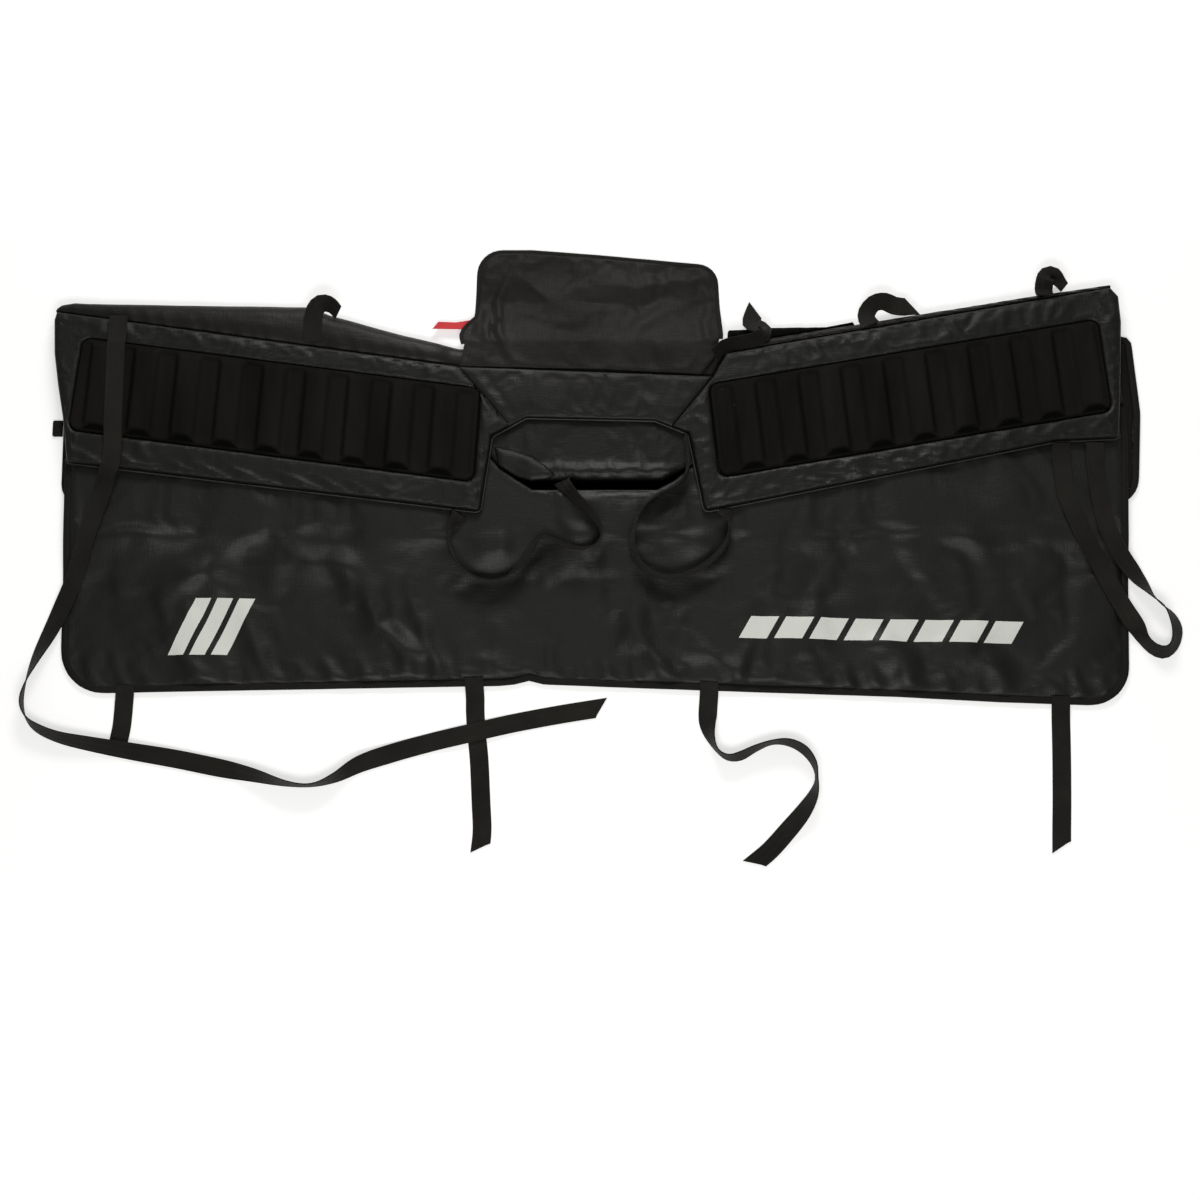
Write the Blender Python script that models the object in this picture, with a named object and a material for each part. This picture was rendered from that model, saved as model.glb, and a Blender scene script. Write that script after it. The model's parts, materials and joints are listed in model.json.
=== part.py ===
"""Tailgate bike pad, folded flat on the floor.

The pad is sewn from coated fabric over foam. The bed-side panel lies underneath, the road-side
panel lies on it, and a U-shaped yoke with two ribbed bumpers lies on top, sewn in at the crown
seam where the pad bends over a tailgate. The handle flap is turned up past the crown. Webbing
straps leave the crown seam, the slot under the valance and the hem.

Metres, +Z up. The origin is on the underside of the bed-side panel, X runs along the pad and -Y
points at the hem.
"""

import math
from dataclasses import dataclass

import bmesh
import bpy
from mathutils import Vector

# Clearances
SEWN_GAP = 0.0003
POCKET_CLEARANCE = 0.0008

# Thickness of the layers, from the floor up
INNER_PANEL_THICKNESS = 0.007
ROAD_PANEL_THICKNESS = 0.008
PANEL_EDGE_THICKNESS = 0.0055
WING_THICKNESS = 0.013
BRIDGE_THICKNESS = 0.009
VALANCE_THICKNESS = 0.0077
CROWN_THICKNESS = 0.022
FLAP_THICKNESS = 0.0045
PLEAT_THICKNESS = 0.003

UNDER_ROAD_PANEL = INNER_PANEL_THICKNESS + SEWN_GAP
UNDER_YOKE = UNDER_ROAD_PANEL + ROAD_PANEL_THICKNESS + SEWN_GAP

# Edge tape and piping
PANEL_TAPE_WIDTH = 0.010
FLAP_TAPE_WIDTH = 0.006
TAPE_THICKNESS = 0.0050
TAPE_FLOOR_CLEARANCE = 0.0006
PIPING_RADIUS = 0.002
SOFT_EDGE = 0.007

# The road-side panel drops from the bed-side panel to the floor between these two lines
DROP_START_Y = -0.178
DROP_END_Y = -0.235
FOLD_LIMIT_Y = -0.152

# The crown seam, left to right, where the yoke and both panels are sewn together
SEAM_LEFT = (-0.7445, 0.1395)
SEAM_LEFT_INNER = (-0.191, 0.061)
SEAM_RIGHT_INNER = (0.160, 0.047)
SEAM_RIGHT_CORNER = (0.178, 0.080)
SEAM_RIGHT = (0.711, 0.1745)

# Lower corners of the two wings and the cut-out between them
LEFT_SIDE = ((-0.7475, 0.128), (-0.7450, 0.080), (-0.7380, 0.035), (-0.7290, -0.012))
LEFT_HEM_OUTER = (-0.7205, -0.0745)
LEFT_HEM_INNER = (-0.158, -0.1440)
LEFT_CHAMFER_LOW = (-0.143, -0.038)
LEFT_CHAMFER_TOP = (-0.096, -0.011)
RIGHT_CHAMFER_TOP = (0.080, -0.015)
RIGHT_CHAMFER_LOW = (0.126, -0.034)
RIGHT_HEM_INNER = (0.147, -0.1435)
RIGHT_HEM_BEND = (0.628, -0.0445)
RIGHT_HEM_OUTER = (0.7125, -0.0405)
RIGHT_SIDE = ((0.7170, 0.014), (0.7205, 0.071), (0.7235, 0.125), (0.7215, 0.162))
WING_CORNER_RADIUS = 0.006

# Bumpers
BUMPER_LENGTH = 0.543
BUMPER_DEPTH = 0.130
BUMPER_CORNER_RADIUS = 0.012
BUMPER_BASE_THICKNESS = 0.004
BUMPER_RIM_WIDTH = 0.007
BUMPER_RIM_RISE = 0.0025
POCKET_DEPTH = 0.006
RIB_COUNT = 9
RIB_PITCH = 0.0592
RIB_WIDTH = 0.034
RIB_CREST_WIDTH = 0.016
RIB_HEIGHT = 0.009
RIB_END_SLOPE = 0.011
RIB_SHIFT = 0.0115
BUMPER_SKEW = math.radians(4.0)
LEFT_BUMPER_CENTRE = (-0.4323, -0.0015)
LEFT_BUMPER_TILT = math.radians(-7.6)
RIGHT_BUMPER_CENTRE = (0.4290, 0.0155)
RIGHT_BUMPER_TILT = math.radians(9.9)

BUMPERS = (
    ("left", LEFT_BUMPER_CENTRE, LEFT_BUMPER_TILT),
    ("right", RIGHT_BUMPER_CENTRE, RIGHT_BUMPER_TILT),
)

# The slot under the valance
SLOT_TOP_Y = -0.097
SLOT_LOW_Y = -0.111
SLOT_LEFT_X = -0.086
SLOT_RIGHT_X = 0.082
VALANCE_HEM_SWELL = 0.003

# Webbing
WEBBING_WIDTH = 0.025
WEBBING_THICKNESS = 0.0018
WEBBING_STEP = 0.020
WEBBING_LOOK_AHEAD = 0.009
TIP_SLANT = 0.012

# Ladder locks under the hem of the bed-side panel
BUCKLE_X = (-0.631, -0.164, 0.151, 0.620)
BUCKLE_WIDTH = 0.033
BUCKLE_LENGTH = 0.029
BUCKLE_BAR = 0.0034
BUCKLE_SLOT = 0.0036
BUCKLE_SIDE = 0.0032
LOOP_THICKNESS = 0.0010
LOOP_BAR_CLEARANCE = 0.0003
BUCKLE_THICKNESS = INNER_PANEL_THICKNESS - TAPE_FLOOR_CLEARANCE - 2.0 * (LOOP_THICKNESS + LOOP_BAR_CLEARANCE) - SEWN_GAP

# Outlines. A corner is (x, y, radius); a radius of 0 keeps it sharp
INNER_PANEL_SIDES = (
    (-0.731, -0.131, 0.030),
    (0.740, -0.131, 0.040),
    (0.749, 0.000, 0.0),
    (0.741, 0.110, 0.013),
    (0.712, 0.112, 0.0),
)
ROAD_PANEL_HEM = (
    (-0.719, -0.392, 0.060),
    (-0.530, -0.388, 0.0),
    (-0.296, -0.384, 0.0),
    (-0.129, -0.381, 0.0),
    (-0.110, -0.379, 0.0),
    (-0.090, -0.374, 0.0),
    (-0.070, -0.379, 0.0),
    (0.005, -0.382, 0.0),
    (0.139, -0.387, 0.0),
    (0.406, -0.396, 0.0),
    (0.539, -0.403, 0.0),
    (0.714, -0.409, 0.055),
)
ROAD_PANEL_TOP = (
    (0.728, -0.035, 0.0),
    (0.724, 0.012, 0.0),
    (0.152, -0.068, 0.0),
    (0.128, -0.080, 0.0),
    (0.106, -0.098, 0.0),
    (SLOT_RIGHT_X, SLOT_LOW_Y, 0.0),
    (SLOT_LEFT_X, SLOT_LOW_Y, 0.0),
    (-0.134, -0.078, 0.0),
    (-0.150, -0.060, 0.0),
    (-0.727, -0.030, 0.0),
)
CROWN_TOP_EDGE = (
    (-0.747, 0.146),
    (-0.740, 0.153),
    (-0.722, 0.157),
    (-0.400, 0.152),
    (-0.369, 0.140),
    (-0.271, 0.112),
    (-0.190, 0.092),
    (0.000, 0.086),
    (0.180, 0.096),
    (0.280, 0.112),
    (0.418, 0.135),
    (0.611, 0.167),
    (0.7125, 0.183),
)
CROWN_STATIONS = (
    -0.7465, -0.740, -0.722, -0.600, -0.480, -0.400, -0.369, -0.271, -0.222, -0.198, -0.185,
    0.000, 0.165, 0.178, 0.188, 0.206, 0.280, 0.418, 0.520, 0.611, 0.690, 0.7125,
)
# Share of the way across the crown, share of its full height
CROWN_PROFILE = ((0.0, 0.66), (0.14, 0.90), (0.40, 1.0), (0.72, 0.93), (0.93, 0.68), (1.0, 0.38))
CROWN_UNDERCUT = 0.002
FLAP_MIDDLE_X = -0.008
FLAP_HALF_WIDTH = 0.188
FLAP_CORNERS = (
    (-0.1885, 0.0625, 0.0),
    (-0.166, 0.0615, 0.0),
    (0.005, 0.0590, 0.0),
    (0.144, 0.0505, 0.0),
    (0.163, 0.0750, 0.010),
    (0.176, 0.105, 0.012),
    (0.172, 0.150, 0.0),
    (0.169, 0.215, 0.030),
    (0.000, 0.231, 0.0),
    (-0.090, 0.238, 0.0),
    (-0.166, 0.238, 0.036),
    (-0.1675, 0.176, 0.0),
    (-0.169, 0.139, 0.0),
    (-0.179, 0.129, 0.0),
    (-0.187, 0.118, 0.0),
    (-0.1905, 0.107, 0.0),
    (-0.187, 0.095, 0.0),
)
FLAP_DROP_START_Y = 0.100
FLAP_DROP_END_Y = 0.158
FLEECE_OUTLINE = (
    (0.181, 0.0966, 0.0),
    (0.280, 0.1124, 0.0),
    (0.372, 0.1276, 0.0),
    (0.366, 0.1400, 0.0),
    (0.235, 0.1225, 0.004),
    (0.181, 0.1150, 0.003),
)
FLEECE_THICKNESS = 0.016
PLEAT_CORNERS = (
    (-0.134, -0.078, 0.0),
    (-0.090, -0.1085, 0.0),
    (-0.078, -0.082, 0.0),
    (-0.139, -0.052, 0.0),
)
LABEL_CORNERS = (
    (-0.2270, 0.1200),
    (-0.1740, 0.1190),
    (-0.1620, 0.1290),
    (-0.1700, 0.1345),
    (-0.1950, 0.1300),
    (-0.2190, 0.1310),
)
LABEL_THICKNESS = 0.0012
EDGE_TAB_CORNERS = (
    (-0.7475, -0.033, 0.003),
    (-0.7331, -0.033, 0.0),
    (-0.7331, -0.010, 0.0),
    (-0.7475, -0.010, 0.003),
)
EDGE_TAB_THICKNESS = 0.004
RELIEF_STEP = 0.022
ARC_STEPS = 6


@dataclass(frozen=True)
class Fold:
    """A soft ridge in the coated fabric, along a short path on the panel."""

    path: tuple
    height: float
    width: float


PANEL_FOLDS = (
    Fold(((-0.478, -0.275), (-0.455, -0.333), (-0.438, -0.386)), 0.006, 0.011),
    Fold(((-0.560, -0.345), (-0.500, -0.386)), 0.004, 0.012),
    Fold(((-0.371, -0.338), (-0.341, -0.386)), 0.004, 0.010),
    Fold(((-0.350, -0.228), (-0.313, -0.243), (-0.297, -0.299), (-0.248, -0.335), (-0.268, -0.384)), 0.008, 0.013),
    Fold(((-0.241, -0.280), (-0.223, -0.333), (-0.200, -0.384)), 0.006, 0.010),
    Fold(((-0.560, -0.232), (-0.516, -0.219), (-0.470, -0.252)), 0.005, 0.022),
    Fold(((-0.414, -0.215), (-0.353, -0.222)), 0.005, 0.020),
    Fold(((-0.632, -0.180), (-0.543, -0.197)), 0.004, 0.014),
    Fold(((0.046, -0.290), (0.072, -0.333), (0.102, -0.386)), 0.007, 0.013),
    Fold(((0.214, -0.312), (0.195, -0.347), (0.187, -0.386)), 0.005, 0.009),
    Fold(((0.350, -0.322), (0.391, -0.326), (0.415, -0.354), (0.432, -0.394)), 0.008, 0.013),
    Fold(((0.505, -0.336), (0.537, -0.358), (0.563, -0.400)), 0.007, 0.012),
    Fold(((0.464, -0.132), (0.494, -0.168), (0.536, -0.218)), 0.005, 0.022),
    Fold(((0.300, -0.205), (0.220, -0.255), (0.150, -0.330)), 0.005, 0.024),
)
FLAP_FOLDS = (
    Fold(((-0.150, 0.110), (-0.147, 0.160)), 0.004, 0.008),
    Fold(((-0.124, 0.100), (-0.135, 0.160), (-0.128, 0.190)), 0.004, 0.007),
    Fold(((-0.060, 0.155), (-0.100, 0.205)), 0.003, 0.016),
    Fold(((0.010, 0.175), (0.060, 0.188), (0.140, 0.195)), 0.003, 0.014),
    Fold(((0.075, 0.110), (0.095, 0.140), (0.150, 0.165)), 0.004, 0.014),
)


@dataclass(frozen=True)
class Strap:
    """One webbing strap: its node name, hand-laid route and cut end."""

    name: str
    # (x, y, lift off whatever lies beneath, roll in degrees: 0 lies flat, 90 stands on its edge)
    route: tuple
    tip_slant: float = 0.0


STRAPS = (
    Strap("bike_strap_1", (
        (-0.648, 0.1330, 0.0060, 0), (-0.6480, 0.1100, 0.0020, 0), (-0.6485, 0.0830, 0.0010, 0),
        (-0.6495, 0.0440, 0.0002, 0), (-0.6510, 0.0020, 0.0002, 0), (-0.6530, -0.0340, 0.0004, 0),
        (-0.655, -0.0560, 0.0010, 0), (-0.6575, -0.0760, 0.0012, 0), (-0.6625, -0.0910, 0.0060, 0),
        (-0.669, -0.1080, 0.0020, 0), (-0.679, -0.1420, 0.0006, 0), (-0.690, -0.1810, 0.0004, 0),
        (-0.703, -0.2290, 0.0004, 0), (-0.718, -0.2670, 0.0, 4), (-0.735, -0.3070, 0.0, 22),
        (-0.752, -0.3460, 0.0, 50), (-0.764, -0.3810, 0.0, 78), (-0.767, -0.4050, 0.0, 88),
        (-0.760, -0.4250, 0.0, 75), (-0.744, -0.4390, 0.0, 50), (-0.715, -0.4510, 0.0, 22),
        (-0.675, -0.4595, 0.0, 2), (-0.621, -0.4690, 0.0, 0), (-0.561, -0.4790, 0.0, 0),
        (-0.507, -0.4910, 0.0, 18), (-0.459, -0.5040, 0.0, 52), (-0.419, -0.5140, 0.0, 84),
        (-0.392, -0.5130, 0.0, 88), (-0.360, -0.5030, 0.0, 68), (-0.321, -0.4860, 0.0, 34),
        (-0.268, -0.4700, 0.0, 8), (-0.222, -0.4570, 0.0006, 0), (-0.188, -0.4490, 0.0027, 0),
        (-0.162, -0.4430, 0.0029, 0), (-0.135, -0.4365, 0.0025, 0), (-0.102, -0.4290, 0.0004, 0),
        (-0.049, -0.4180, 0.0, 0), (0.002, -0.4070, 0.0, 0)), TIP_SLANT),
    Strap("bike_strap_2", (
        (-0.3910, 0.0970, 0.0002, 0), (-0.3915, 0.1120, 0.0002, 0), (-0.3910, 0.1290, 0.0004, 0),
        (-0.3880, 0.1420, 0.0030, 12), (-0.3800, 0.1500, 0.0060, 28), (-0.3690, 0.1500, 0.0040, 42),
        (-0.3610, 0.1440, 0.0010, 50), (-0.3560, 0.1370, 0.0, 52))),
    Strap("bike_strap_3", (
        (-0.042, -0.1000, 0.0045, 0), (-0.041, -0.1045, 0.0060, 0), (-0.037, -0.1140, 0.0030, 12),
        (-0.026, -0.1290, 0.0010, 35), (-0.008, -0.1460, 0.0, 62), (0.005, -0.1650, 0.0, 82),
        (0.006, -0.1820, 0.0, 88), (-0.003, -0.1930, 0.0, 80), (-0.022, -0.1970, 0.0, 66),
        (-0.044, -0.1910, 0.0, 64), (-0.060, -0.1820, 0.0, 74), (-0.072, -0.1790, 0.0, 78),
        (-0.082, -0.1860, 0.0, 66), (-0.092, -0.2010, 0.0, 60), (-0.104, -0.2180, 0.0, 66),
        (-0.120, -0.2320, 0.0, 78), (-0.138, -0.2390, 0.0, 86), (-0.159, -0.2360, 0.0, 86),
        (-0.179, -0.2240, 0.0, 82), (-0.193, -0.2050, 0.0, 80), (-0.199, -0.1830, 0.0, 80),
        (-0.196, -0.1650, 0.0, 84), (-0.188, -0.1535, 0.0, 86))),
    Strap("bike_strap_4", (
        (0.1085, -0.0440, 0.0, 58), (0.1140, -0.0640, 0.0, 62), (0.1130, -0.0860, 0.0, 64),
        (0.098, -0.1060, 0.0, 68), (0.076, -0.1240, 0.0, 76), (0.060, -0.1450, 0.0, 82),
        (0.051, -0.1690, 0.0008, 80), (0.048, -0.1930, 0.0006, 74), (0.055, -0.2140, 0.0, 76),
        (0.072, -0.2290, 0.0, 84), (0.096, -0.2350, 0.0, 88), (0.123, -0.2300, 0.0, 86),
        (0.148, -0.2170, 0.0, 84), (0.167, -0.2000, 0.0, 82), (0.178, -0.1800, 0.0, 84),
        (0.180, -0.1640, 0.0, 86), (0.175, -0.1530, 0.0, 88))),
    Strap("bike_strap_5", (
        (0.3790, 0.1195, -0.0062, 0), (0.3780, 0.1325, 0.0004, 0), (0.3805, 0.1460, 0.0010, 20),
        (0.3890, 0.1570, 0.0100, 40), (0.4010, 0.1600, 0.0070, 52), (0.4130, 0.1555, 0.0010, 56),
        (0.4220, 0.1480, 0.0, 60), (0.4320, 0.1495, 0.0, 60), (0.4400, 0.1590, 0.0, 42)), TIP_SLANT),
    Strap("bike_strap_6", (
        (0.6195, 0.1625, -0.0062, 0), (0.6200, 0.1740, 0.0004, 0), (0.6215, 0.1850, 0.0180, 0),
        (0.6250, 0.1925, 0.0150, 10), (0.6330, 0.1945, 0.0060, 35), (0.6410, 0.1890, 0.0010, 50),
        (0.6460, 0.1830, 0.0, 52))),
    Strap("strap_tail", (
        (0.2140, 0.1249, -0.0100, 0), (0.2165, 0.1370, 0.0010, 0), (0.2205, 0.1475, 0.0, 0)), 1.5 * TIP_SLANT),
    Strap("side_strap", (
        (0.6270, -0.0590, 0.0, 0), (0.6290, -0.0830, 0.0004, 0), (0.6370, -0.1140, 0.0004, 0),
        (0.6480, -0.1480, 0.0004, 0), (0.6620, -0.1820, 0.0002, 0), (0.6800, -0.2160, 0.0002, 0),
        (0.6970, -0.2500, 0.0003, 0), (0.7120, -0.2780, 0.0010, 4), (0.7240, -0.2990, 0.0010, 30),
        (0.7345, -0.3180, 0.0, 66), (0.7470, -0.3310, 0.0, 66), (0.7610, -0.3360, 0.0, 56),
        (0.7720, -0.3310, 0.0, 56), (0.7790, -0.3190, 0.0, 50), (0.7810, -0.3020, 0.0, 44),
        (0.7750, -0.2860, 0.0, 54), (0.7640, -0.2720, 0.0, 74), (0.7500, -0.2580, 0.0, 66),
        (0.7370, -0.2400, 0.0, 36), (0.7240, -0.2220, 0.0008, 12), (0.7100, -0.2030, 0.0006, 3),
        (0.6980, -0.1810, 0.0010, 0), (0.6890, -0.1550, 0.0004, 0), (0.6850, -0.1280, 0.0002, 0),
        (0.6820, -0.0990, 0.0002, 0), (0.6800, -0.0740, 0.0, 0), (0.6800, -0.0530, 0.0, 0))),
    Strap("tie_strap_1", (
        (-0.631, -0.3800, 0.0, 0), (-0.631, -0.3925, 0.0, 0), (-0.632, -0.4070, 0.0005, 0),
        (-0.633, -0.4210, 0.0, 0), (-0.634, -0.4370, 0.0014, 0), (-0.636, -0.4520, 0.0030, 0),
        (-0.638, -0.4660, 0.0030, 4)), TIP_SLANT),
    Strap("tie_strap_2", (
        (-0.164, -0.3700, 0.0, 0), (-0.163, -0.3840, 0.0, 0), (-0.162, -0.3990, 0.0005, 0),
        (-0.162, -0.4140, 0.0, 0), (-0.160, -0.4430, 0.0, 0), (-0.156, -0.4800, 0.0, 0),
        (-0.153, -0.5340, 0.0, 0), (-0.151, -0.5730, 0.0, 0), (-0.153, -0.5970, 0.0, 0)), TIP_SLANT),
    Strap("tie_strap_3", (
        (0.151, -0.3760, 0.0, 0), (0.151, -0.3900, 0.0, 0), (0.150, -0.4050, 0.0008, 0),
        (0.149, -0.4190, 0.0, 8), (0.149, -0.4340, 0.0, 34), (0.153, -0.4530, 0.0, 70),
        (0.161, -0.4690, 0.0, 88), (0.175, -0.4780, 0.0, 80), (0.192, -0.4760, 0.0, 68),
        (0.212, -0.4660, 0.0, 76), (0.234, -0.4580, 0.0, 84), (0.256, -0.4580, 0.0, 76),
        (0.276, -0.4680, 0.0, 72), (0.289, -0.4860, 0.0, 80), (0.292, -0.5060, 0.0, 88),
        (0.287, -0.5280, 0.0, 60), (0.273, -0.5510, 0.0, 30), (0.252, -0.5760, 0.0, 10),
        (0.230, -0.6000, 0.0, 2), (0.212, -0.6180, 0.0, 0)), -TIP_SLANT),
    Strap("tie_strap_4", (
        (0.621, -0.3950, 0.0, 0), (0.621, -0.4080, 0.0, 0), (0.621, -0.4230, 0.0005, 0),
        (0.621, -0.4380, 0.0, 0), (0.620, -0.4800, 0.0, 0), (0.618, -0.5340, 0.0, 0),
        (0.616, -0.5730, 0.0, 0), (0.614, -0.5960, 0.0, 0)), TIP_SLANT),
)


# Plane geometry
def corner_arc(before, corner, after, radius):
    """Return the points of a round of the given radius at a corner."""
    point = Vector(corner)
    back = (Vector(before) - point).normalized()
    ahead = (Vector(after) - point).normalized()
    half = back.angle(ahead) / 2.0
    centre = point + (back + ahead).normalized() * radius / math.sin(half)
    start = point + back * radius / math.tan(half) - centre
    end = point + ahead * radius / math.tan(half) - centre
    sweep = start.angle_signed(end)
    points = []
    for step in range(ARC_STEPS + 1):
        turn = -sweep * step / ARC_STEPS
        x = start.x * math.cos(turn) - start.y * math.sin(turn)
        y = start.x * math.sin(turn) + start.y * math.cos(turn)
        points.append((centre.x + x, centre.y + y))
    return points


def rounded_outline(corners):
    """Return a closed outline from (x, y, radius) corners, listed anticlockwise."""
    outline = []
    count = len(corners)
    for index, (x, y, radius) in enumerate(corners):
        if radius <= 0.0:
            outline.append((x, y))
            continue
        before = corners[index - 1][:2]
        after = corners[(index + 1) % count][:2]
        outline.extend(corner_arc(before, (x, y), after, radius))
    return outline


def offset_outline(outline, distance):
    """Move every edge of an anticlockwise outline outwards by a distance."""
    moved = []
    count = len(outline)
    for index in range(count):
        point = Vector(outline[index])
        back = (point - Vector(outline[index - 1])).normalized()
        ahead = (Vector(outline[(index + 1) % count]) - point).normalized()
        normal = Vector((back.y + ahead.y, -back.x - ahead.x)).normalized()
        reach = distance / max(normal.dot(Vector((ahead.y, -ahead.x))), 0.3)
        moved.append((point.x + normal.x * reach, point.y + normal.y * reach))
    return moved


def distance_to_path(x, y, path):
    """Return the distance from a point to an open path."""
    point = Vector((x, y))
    nearest = math.inf
    for first, second in zip(path, path[1:]):
        start = Vector(first)
        along = Vector(second) - start
        share = max(0.0, min(1.0, (point - start).dot(along) / along.length_squared))
        nearest = min(nearest, (point - start - along * share).length)
    return nearest


def inside(x, y, outline):
    """Return whether a point lies inside a closed outline."""
    crossings = 0
    for first, second in zip(outline, outline[1:] + outline[:1]):
        if (first[1] > y) != (second[1] > y):
            reach = first[0] + (second[0] - first[0]) * (y - first[1]) / (second[1] - first[1])
            crossings += reach > x
    return crossings % 2 == 1


def height_on_line(x, first, second):
    """Return y at x on the straight line through two points."""
    return first[1] + (second[1] - first[1]) * (x - first[0]) / (second[0] - first[0])


def smooth_step(value):
    """Return a smooth change from 0 to 1 as the value goes from 0 to 1."""
    share = max(0.0, min(1.0, value))
    return share * share * (3.0 - 2.0 * share)


def round_edge(distance, width=SOFT_EDGE):
    """Return the share of full thickness at a distance inside a soft edge."""
    share = max(0.0, min(1.0, distance / width))
    return math.sqrt(1.0 - (1.0 - share) ** 2)


def closed(outline):
    """Return an outline with its first point repeated at the end."""
    return list(outline) + [outline[0]]


def grid_cuts(outline, step, low_y=-math.inf, high_y=math.inf):
    """Return evenly spaced cuts along both axes inside an outline's box."""
    xs = [point[0] for point in outline]
    ys = [max(low_y, min(high_y, point[1])) for point in outline]
    cuts = []
    for axis, values in ((0, xs), (1, ys)):
        low = min(values)
        count = max(1, round((max(values) - low) / step))
        pitch = (max(values) - low) / count
        for index in range(1, count):
            cuts.append((axis, low + pitch * index))
    return cuts


# Solids
def make_material(name, colour, roughness):
    """Return a Principled material."""
    material = bpy.data.materials.new(name)
    material.use_nodes = True
    shader = material.node_tree.nodes["Principled BSDF"]
    shader.inputs["Base Color"].default_value = (*colour, 1.0)
    shader.inputs["Roughness"].default_value = roughness
    shader.inputs["Metallic"].default_value = 0.0
    return material


def add_object(name, bm, colour, roughness, smooth_angle=None):
    """Turn a bmesh into a named object with its own material."""
    bmesh.ops.recalc_face_normals(bm, faces=bm.faces[:])
    mesh = bpy.data.meshes.new(name)
    bm.to_mesh(mesh)
    bm.free()
    if smooth_angle is not None:
        mesh.shade_smooth()
        mesh.set_sharp_from_angle(angle=smooth_angle)
    mesh.materials.append(make_material(name, colour, roughness))
    item = bpy.data.objects.new(name, mesh)
    bpy.context.scene.collection.objects.link(item)
    return item


def flat_region(outline, rings=(), ring_only=0.0, cuts=(), holes=()):
    """Return a flat face inside an outline, inset, cut along lines and pierced."""
    bm = bmesh.new()
    face = bm.faces.new([bm.verts.new((x, y, 0.0)) for x, y in outline])
    bm.normal_update()
    for width in (ring_only,) if ring_only else rings:
        bmesh.ops.inset_region(bm, faces=[face], thickness=width, use_even_offset=True, use_boundary=True)
    if ring_only:
        bmesh.ops.delete(bm, geom=[face], context="FACES")
    for axis, value in cuts:
        point = Vector((0.0, 0.0, 0.0))
        point[axis] = value
        normal = Vector((1.0 - axis, float(axis), 0.0))
        everything = bm.verts[:] + bm.edges[:] + bm.faces[:]
        bmesh.ops.bisect_plane(bm, geom=everything, dist=1e-6, plane_co=point, plane_no=normal)
    pierced = []
    for low_x, low_y, high_x, high_y in holes:
        for item in bm.faces:
            middle = item.calc_center_median()
            if low_x < middle.x < high_x and low_y < middle.y < high_y:
                pierced.append(item)
    if pierced:
        bmesh.ops.delete(bm, geom=pierced, context="FACES")
    return bm


def raise_region(bm, top, bottom, kept_rows=(), merge_underside=True):
    """Extrude a flat region into a solid and set its top and bottom heights.

    A merged underside keeps only the edges that lie on kept_rows, as it is flat between them.
    """
    lower_faces = bm.faces[:]
    raised = bmesh.ops.extrude_face_region(bm, geom=lower_faces)
    upper = [item for item in raised["geom"] if isinstance(item, bmesh.types.BMVert)]
    lower = {vert for face in lower_faces for vert in face.verts}
    under = set(lower_faces)
    inner = []
    for edge in bm.edges:
        if all(face in under for face in edge.link_faces):
            ys = [vert.co.y for vert in edge.verts]
            if not any(abs(ys[0] - row) < 1e-5 and abs(ys[1] - row) < 1e-5 for row in kept_rows):
                inner.append(edge)
    heights = [(vert, top(vert.co.x, vert.co.y)) for vert in upper]
    heights += [(vert, bottom(vert.co.x, vert.co.y)) for vert in lower]
    if merge_underside:
        bmesh.ops.dissolve_edges(bm, edges=inner, use_verts=False)
    for vert, height in heights:
        if vert.is_valid:
            vert.co.z = height
    loose = [vert for vert in bm.verts if not vert.link_faces]
    bmesh.ops.delete(bm, geom=loose, context="VERTS")


def nearest_corner(point, corners):
    """Return the index of the corner that lies nearest to a point."""
    return min(range(len(corners)), key=lambda index: (corners[index] - point).length)


def loft(sections):
    """Return a solid grown through a row of sections that have the same number of corners."""
    bm = bmesh.new()
    end_face = bm.faces.new([bm.verts.new(corner) for corner in sections[0]])
    for index in range(1, len(sections)):
        grown = bmesh.ops.extrude_face_region(bm, geom=[end_face])
        if index > 1:
            bmesh.ops.delete(bm, geom=[end_face], context="FACES_ONLY")
        end_face = next(item for item in grown["geom"] if isinstance(item, bmesh.types.BMFace))
        for vert in end_face.verts:
            vert.co = sections[index][nearest_corner(vert.co, sections[index - 1])]
    return bm


# Levels and relief
def drop(y):
    """Return the underside of the road-side panel at y."""
    share = max(0.0, min(1.0, (DROP_START_Y - y) / (DROP_START_Y - DROP_END_Y)))
    return UNDER_ROAD_PANEL * (1.0 - share)


def fold_height(x, y, folds):
    """Return how far the folds lift the fabric at a point."""
    lift = 0.0
    for fold in folds:
        distance = distance_to_path(x, y, fold.path)
        if distance < 3.0 * fold.width:
            lift = max(lift, fold.height * math.exp(-((distance / fold.width) ** 2)))
    return lift


def clear_of_yoke(y):
    """Return 0 beneath the yoke and 1 well below its hem, so that no fold lifts it."""
    return smooth_step((FOLD_LIMIT_Y - y) / 0.025)


def seam_points():
    """Return the crown seam from left to right."""
    return [SEAM_LEFT, SEAM_LEFT_INNER, SEAM_RIGHT_INNER, SEAM_RIGHT_CORNER, SEAM_RIGHT]


def seam_between(low_x, high_x):
    """Return the crown seam from right to left, cut to a range of x."""
    points = seam_points()
    kept = [(low_x, seam_y(low_x))]
    kept += [point for point in points if low_x < point[0] < high_x]
    kept.append((high_x, seam_y(high_x)))
    return kept[::-1]


def seam_y(x):
    """Return the crown seam's y at x."""
    points = seam_points()
    for first, second in zip(points, points[1:]):
        if x <= second[0]:
            return height_on_line(x, first, second)
    return height_on_line(x, points[-2], points[-1])


# Sub-parts
def build_panel(name, outline, level, thickness, colour, tape=0.0):
    """Build a flat padded panel, set in from its seams and from its edge tape."""
    body = offset_outline(outline, -SEWN_GAP / 2.0 - tape)
    bm = flat_region(body)
    raise_region(bm, lambda x, y: level + thickness, lambda x, y: level)
    return add_object(name, bm, colour, 0.8)


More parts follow.
